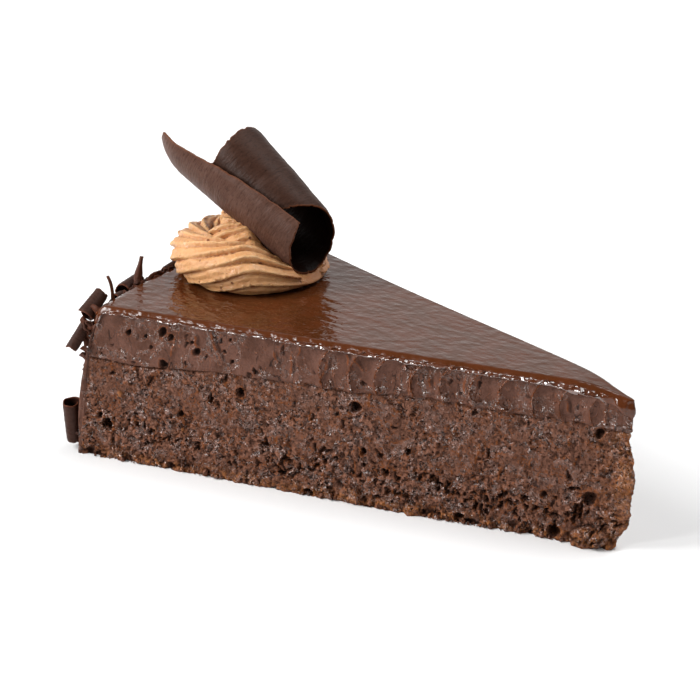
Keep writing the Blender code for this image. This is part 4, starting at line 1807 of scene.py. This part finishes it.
# ---- Small chocolate pieces ----
@dataclass
class Shaving:
    """A thin strip of chocolate rolled up, in the place of one of the small curls."""

    node: str
    seed: int
    thickness: float = 0.0004
    widen: float = 0.0
    ragged: float = 0.0004
    mouth: float | None = None
    turn: float | None = None
    grow: float = 0.0
    leaf_gap: float = 0.0003
    shut_gap: float = 1.0
    shut_turn: float = math.radians(400)
    lapped: float = 6.0

    def build(self, material: Material) -> bpy.types.Object:
        """Builds the shaving along its solid's own axis.

        Args:
            material: Its finish.

        Returns:
            The piece.
        """
        noise = SmoothNoise(self.seed)
        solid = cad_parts[self.node]
        place = np.array(solid.matrix_world)
        points = vectors_of(solid.data, "co") @ place[:3, :3].T + place[:3, 3]
        middle = points.mean(0)
        axis = np.linalg.eigh(np.cov((points - middle).T))[1][:, 2]
        axis = axis * (1 if axis[2] > 0 else -1)
        side = unit(np.cross(axis, [0.3, 0.4, 0.85]))
        front = np.cross(axis, side)
        flat = np.stack([(points - middle) @ side, (points - middle) @ front], -1)
        fit = np.linalg.lstsq(np.c_[2 * flat, np.ones(len(flat))], (flat**2).sum(-1), rcond=None)[0]
        middle = middle + fit[0] * side + fit[1] * front
        away = flat - fit[:2]
        radius = float(np.percentile(np.linalg.norm(away, axis=-1), 85)) - self.thickness / 2 + self.grow
        half = float(np.abs((points - middle) @ axis).max())
        angles = np.sort(np.arctan2(away[:, 1], away[:, 0]))
        gaps = np.diff(np.r_[angles, angles[0] + math.tau])
        widest = int(gaps.argmax())
        begin = float(angles[(widest + 1) % len(angles)])
        if self.mouth is not None:
            begin = math.radians(self.mouth)
        turn = math.tau - float(gaps[widest])
        if self.turn is not None:
            turn = math.radians(self.turn)
        elif gaps[widest] < self.shut_gap:
            turn = self.shut_turn
        rows, columns = 34, 60
        share = np.linspace(0, 1, columns)[None]
        along = np.linspace(-1, 1, rows)[:, None]
        edge = np.stack(np.broadcast_arrays(share * 0.02, np.sign(along) * 0.02, np.zeros((1, 1))), -1)
        reach = half * along * (1 - 0.14 * share) + self.ragged * noise.layered(edge, 0.003, 3) * along**2
        angle = begin + turn * share + 0.10 * noise.at(edge + 0.7, 0.004)
        tight = 0.36 * radius * max(0, turn / 6.28 - 0.4)
        if turn > self.lapped:
            tight = (self.thickness + self.leaf_gap) * turn / math.tau
        flare = 1 + self.widen * along
        wide = (radius - tight * share) * flare
        wide = wide + 0.00008 * noise.at(edge + along[..., None] * 0.01, 0.0012)
        around = np.cos(angle)[..., None] * side + np.sin(angle)[..., None] * front
        grid = middle + reach[..., None] * axis + wide[..., None] * around
        rim = np.minimum((1 - np.abs(along)) * half, np.minimum(share, 1 - share) * turn * radius)
        sheet = SheetMesh(grid, self.thickness * (0.5 + 0.5 * smooth(rim, 0, 0.0007)))
        outside = float((sheet.normal * around).sum()) > 0
        lip = 1 - smooth(rim, 0.00005, 0.00030)
        # painted shade: the inner side, and the outer side towards the end of its turn, are darkened
        inner, outer = np.full(rim.shape, 0.75), smooth(share, 0.7, 0.95) * np.ones_like(rim) * 0.6
        grain = np.stack([angle * radius, reach, 0 * reach], -1)
        marks = sheet_marks((outer, inner) if outside else (inner, outer), lip, grain)
        piece = mesh_piece(self.node + "_shaved", sheet.points, sheet.faces(), marks)
        seat_piece(piece, Slot.CHOCOLATE, material, self.node)
        return piece


class Heap:
    """Many small closed bodies of one kind, joined into one mesh."""

    def __init__(self, seed: int) -> None:
        """Starts empty.

        Args:
            seed: The seed of its draws and its noise.
        """
        self.draw = np.random.default_rng(seed)
        self.noise = SmoothNoise(seed)
        self.points: list[np.ndarray] = []
        self.faces: list[list[int]] = []
        self.marks: dict[str, list[np.ndarray]] = {}

    def add(self, points: np.ndarray, faces: Sequence[Sequence[int]], **marks: np.ndarray) -> None:
        """Adds one closed body.

        Args:
            points: Its points.
            faces: Its faces, as indices into them.
            **marks: Its points' marks.
        """
        first = sum(len(p) for p in self.points)
        self.points.append(points)
        self.faces += [[first + i for i in f] for f in faces]
        for name, values in marks.items():
            self.marks.setdefault(name, []).append(values)

    def build(self, name: str, slot: Slot, material: Material) -> bpy.types.Object:
        """Turns the heap into one piece.

        Args:
            name: The piece's name.
            slot: The record's slot that its finish comes from.
            material: Its finish.

        Returns:
            The piece.
        """
        marks = {mark: np.concatenate(values) for mark, values in self.marks.items()}
        piece = mesh_piece(name, np.concatenate(self.points), self.faces, marks)
        seat_piece(piece, slot, material)
        return piece


@dataclass
class Flakes(Heap):
    """Slivers of chocolate that stick out of the rim between the curls."""

    plan: Plan
    seed: int = 61
    low: float = 0.006

    def __post_init__(self) -> None:
        """Starts the heap."""
        Heap.__init__(self, self.seed)

    def foot(self, turn: float, height: float, sunk: float) -> np.ndarray:
        """A place in the rim's wall, some way under its surface."""
        return self.plan.spot(np.array(self.plan.rim(height) - sunk), np.array(turn), np.array(height))

    def way(self, *spans: tuple[float, float]) -> np.ndarray:
        """A direction drawn from a span for each axis."""
        return unit(np.array([self.draw.uniform(*span) for span in spans]))

    def flake(self, foot: np.ndarray, way: np.ndarray, length: float, width: float, bow: float) -> None:
        """Adds one bent sliver.

        Args:
            foot: Where it starts.
            way: Its direction.
            length: Its length.
            width: Its width.
            bow: How far its middle bends out.
        """
        side = unit(np.cross(way, self.draw.normal(size=3)))
        out = np.cross(way, side)
        along, across = np.linspace(0, 1, 9)[:, None], np.linspace(-0.5, 0.5, 5)[None]
        taper = width * (1 - 0.65 * along**1.5) * (1 + 0.25 * np.sin(9 * along + self.draw.uniform(0, 6)))
        middle = foot + (length * along)[..., None] * way + (taper * across)[..., None] * side
        curve = bow * (1 - (2 * along - 1) ** 2) + 2.0 * width * across**2
        middle = middle + curve[..., None] * out
        sheet = SheetMesh(middle, np.full(middle.shape[:2], self.draw.uniform(0.00022, 0.00038)))
        count = len(sheet.points)
        grain = np.stack(np.broadcast_arrays(along * length, taper * across, np.zeros((1, 1))), -1)
        self.add(
            sheet.points,
            sheet.faces(),
            inside=np.zeros(count),
            lip=self.draw.uniform(0, 0.6) * np.ones(count),
            grain=np.tile(grain.reshape(-1, 3), (2, 1)),
        )

    def crest(self) -> None:
        """Stands a sliver and a horn on the rim's edge, and lays chips along it."""
        horn = (-0.80, 0.0325, (-0.08, 0.03, 1.0), 0.0078, 0.0010)
        sliver = (-0.47, 0.0335, (-0.02, 0.30, 1.0), 0.0080, 0.0017)
        for turn, height, way, length, width in (horn, sliver):
            self.flake(self.foot(turn, height, 0.0002), unit(np.array(way)), length, width, 0.0008)
        for turn in np.linspace(-0.60, 0.95, 34):
            foot = self.foot(turn, 0.0338 + 0.0012 * self.draw.random(), 0.0008)
            level = self.draw.uniform(-0.5, 0.2), self.draw.choice((-1.0, 1.0))
            way = unit(np.array([*level, self.draw.uniform(0.0, 0.8)]))
            length, width = self.draw.uniform(0.0018, 0.0040), self.draw.uniform(0.0012, 0.0024)
            self.flake(foot, way, length, width, 0.0004)

    def corner(self, count: int) -> None:
        """Lays flakes against the rim at the front corner, behind the first curls.

        Args:
            count: How many.
        """
        for height in np.linspace(0.0215, 0.0325, count):
            way = self.way((-0.9, -0.5), (-0.3, 0.1), (0.2, 0.9))
            length, width = self.draw.uniform(0.0026, 0.0044), self.draw.uniform(0.0016, 0.0030)
            self.flake(self.foot(-0.97, height, 0.0004), way, length, width, 0.0004)

    def scatter(self, count: int) -> None:
        """Sticks flakes into the rim's wall, most of them leaning outwards.

        Args:
            count: How many.
        """
        for _ in range(count):
            turn, height = self.draw.uniform(-0.97, 0.97), self.draw.uniform(0.002, 0.0335)
            angle = turn * self.plan.half_angle
            foot = self.foot(turn, height, 0.0003)
            outward = np.array([-math.cos(angle), math.sin(angle), 0.0])
            beside = np.array([math.sin(angle), math.cos(angle), 0.0])
            way = outward * self.draw.uniform(0.15, 0.9) + beside * self.draw.normal(0, 0.7)
            way = unit(way + [0, 0, self.draw.normal(0.2, 0.6)])
            if height < self.low:
                way[2] = abs(way[2])
            length, width = self.draw.uniform(0.0018, 0.0048), self.draw.uniform(0.0008, 0.0022)
            self.flake(foot, unit(way), length, width, self.draw.uniform(0, 0.0006))


@dataclass
class Crumbs(Heap):
    """Loose crumbs on the floor along the cut and stuck to the cake's face."""

    plan: Plan
    seed: int = 71

    def __post_init__(self) -> None:
        """Starts the heap and makes the round body that every crumb is bent from."""
        Heap.__init__(self, self.seed)
        work = bmesh.new()
        bmesh.ops.create_icosphere(work, subdivisions=2, radius=1.0)
        self.ball = np.array([v.co for v in work.verts])
        self.ball_faces = [[v.index for v in f.verts] for f in work.faces]
        work.free()

    def crumb(self, place: np.ndarray, size: float) -> None:
        """Adds one crumb, its lowest point no lower than the base.

        Args:
            place: Its middle.
            size: Its radius.
        """
        shift = self.draw.uniform(0, 9, 3)
        reach = 1 + 0.55 * self.noise.layered(self.ball * 0.9 + shift, 0.9, 2)
        points = self.ball * reach[:, None] * self.draw.uniform(0.6, 1.15, 3) * size
        points = points + place
        points[:, 2] += max(0.0, -points[:, 2].min())
        count = len(points)
        rough = np.ones(count)
        crust = np.full(count, float(self.draw.random() < 0.25)) * 0.8
        self.add(points, self.ball_faces, rough=rough, crust=crust, smear=0 * rough, hollow=0 * rough)

    def scatter(self, floor: int, face: int) -> None:
        """Scatters crumbs along the foot of both cuts and over their faces.

        Args:
            floor: How many lie on the floor, for each cut.
            face: How many stick to each cut.
        """
        lean = self.plan.half_angle
        for side in (-1, 1):
            outward = np.array([math.sin(lean), side * math.cos(lean), 0.0])
            for _ in range(floor):
                radius = self.draw.uniform(0.008, 0.124)
                foot = self.plan.spot(np.array(radius), np.array(float(side)), np.array(0.0))
                size = 0.00014 + 0.0007 * self.draw.random() ** 3
                self.crumb(foot + outward * (0.0003 * self.draw.random()), size)
            for _ in range(face):
                radius, height = self.draw.uniform(0.003, 0.122), self.draw.uniform(0.0005, 0.025)
                spot = self.plan.spot(np.array(radius), np.array(float(side)), np.array(height))
                self.crumb(spot + outward * 0.0001, 0.00014 + 0.0004 * self.draw.random() ** 3)


# ---- Studio ----
@dataclass
class Studio:
    """A white floor, soft light from above, lamps on the cut's side, and the camera.

    Angles are in degrees. Each lamp has a name, a place, a width in metres and a power in watts.
    """

    azimuth: float = 38.207
    elevation: float = 21.56
    distance: float = 0.545
    lens: float = 128.57
    target: Triple = (-0.0123, 0.0025, 0.0256)
    bright: float = 0.71
    dim: float = 0.06
    lamps: tuple[tuple[str, Triple, float, float], ...] = (
        ("overhead", (0.30, 0.35, 1.00), 0.70, 8.5),
        ("key", (-0.68, -0.42, 0.80), 0.32, 4.0),
        ("softbox", (-0.60, -0.66, 0.58), 0.42, 8.4),
        ("front_glint", (-0.24, -0.82, 0.36), 0.12, 2.3),
        ("right_glint", (0.80, -0.35, 0.50), 0.08, 0.5),
    )

    def build(self) -> None:
        """Sets up the floor, the world, the lights and the camera."""
        scene = bpy.context.scene
        scene.view_settings.view_transform = "Standard"
        work = bmesh.new()
        bmesh.ops.create_circle(work, cap_ends=True, radius=1.5, segments=96)
        mesh = bpy.data.meshes.new("floor")
        work.to_mesh(mesh)
        work.free()
        floor = bpy.data.objects.new("floor", mesh)
        mesh.materials.append(PlainFinish().material())
        scene.collection.objects.link(floor)
        self.world(scene)
        for lamp in self.lamps:
            self.light(*lamp)
        back, target = self.back(), Vector(self.target)
        camera = bpy.data.objects.new("camera", bpy.data.cameras.new("camera"))
        camera.data.lens = self.lens
        camera.data.sensor_width = 36
        camera.location = target + back * self.distance
        camera.rotation_mode = "QUATERNION"
        camera.rotation_quaternion = (-back).to_track_quat("-Z", "Y")
        scene.collection.objects.link(camera)
        scene.camera = camera

    def back(self) -> Vector:
        """The direction from the slice to the camera."""
        turn, rise = math.radians(self.azimuth), math.radians(self.elevation)
        return Vector((math.sin(turn) * math.cos(rise), -math.cos(turn) * math.cos(rise), math.sin(rise)))

    def world(self, scene: bpy.types.Scene) -> None:
        """A white surround, dimmer on the camera's side so that the cut faces keep their depth.

        Args:
            scene: The scene that it lights.
        """
        world = bpy.data.worlds.new("surround")
        graph = Graph(world, "Generated")
        away = -self.back()
        pair = {0: graph.place, 1: tuple(away)}
        toward = graph.add("ShaderNodeVectorMath", {"operation": "DOT_PRODUCT"}, pair)
        share = Number(graph, toward.outputs["Value"]).stepped(-0.15, 0.60)
        strength = self.dim + share * (self.bright - self.dim)
        light = graph.add("ShaderNodeBackground", {}, {"Strength": strength})
        light.inputs["Color"].default_value = (1, 1, 1, 1)
        graph.add("ShaderNodeOutputWorld", {}, {"Surface": light.outputs[0]})
        scene.world = world

    def light(self, name: str, place: Triple, size: float, power: float) -> None:
        """A square soft light that faces the slice.

        Args:
            name: Its name.
            place: Where it hangs.
            size: Its width and height.
            power: Its power in watts.
        """
        lamp = bpy.data.lights.new(name, "AREA")
        lamp.shape = "SQUARE"
        lamp.size = size
        lamp.energy = power
        made = bpy.data.objects.new(name, lamp)
        made.location = place
        made.rotation_mode = "QUATERNION"
        made.rotation_quaternion = (Vector(place) - Vector(self.target)).to_track_quat("Z", "Y")
        bpy.context.scene.collection.objects.link(made)


def main() -> None:
    """Builds the slice's pieces in order, then the studio round it."""
    logging.basicConfig(level=logging.INFO, format="%(name)s: %(message)s")
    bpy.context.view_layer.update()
    plan = Plan()
    rows = 100
    crumb = CrumbFinish().material()
    CakeLayer(plan, Wedge(plan, STATIONS, 24, rows, reach=0.992)).build(crumb)
    MousseLayer(plan, Wedge(plan, STATIONS, 120, 44)).build(MousseFinish().material())
    GlazeLayer(plan, Wedge(plan, STATIONS, 110, 24, crowd=0.5)).build(GlazeFinish().material())
    curl = LargeCurl()
    seat = curl.seat()
    Rosette().build(seat, CreamFinish().material())
    bpy.data.objects.remove(seat)
    # painted shade: a near-black copy of the chocolate for the roll's inner side
    shaded_copy = ChocolateFinish(flesh=(0.004, 0.0012, 0.0008), bloom=(0.006, 0.002, 0.001), shine=0.05)
    curl.build(ChocolateFinish().material("curl_chocolate"), shaded_copy.material("curl_inside_painted_shade"))
    # the small curls' chocolate, whose inside colour is painted shade
    dark = {"flesh": (0.036, 0.014, 0.009), "bloom": (0.066, 0.033, 0.025), "inside": (0.020, 0.005, 0.003)}
    shaved = ChocolateFinish(**dark, lip=(0.150, 0.040, 0.016)).material("shaved_chocolate")
    rolled = {"turn": 410, "mouth": 200}
    shapes = {1: rolled | {"widen": -0.12}, 2: rolled, 3: {"grow": 0.0006}}
    for n in range(1, SHAVINGS + 1):
        Shaving(f"rim_curl_{n:02d}", SHAVING_SEEDS + n, **shapes.get(n, {})).build(shaved)
    flakes = Flakes(plan)
    flakes.crest()
    flakes.corner(count=8)
    flakes.scatter(count=90)
    flakes.build("rim_flakes", Slot.CHOCOLATE, shaved)
    crumbs = Crumbs(plan)
    crumbs.scatter(floor=170, face=90)
    crumbs.build("loose_crumbs", Slot.CAKE, crumb)
    Studio().build()


if __name__ == "__main__":
    main()
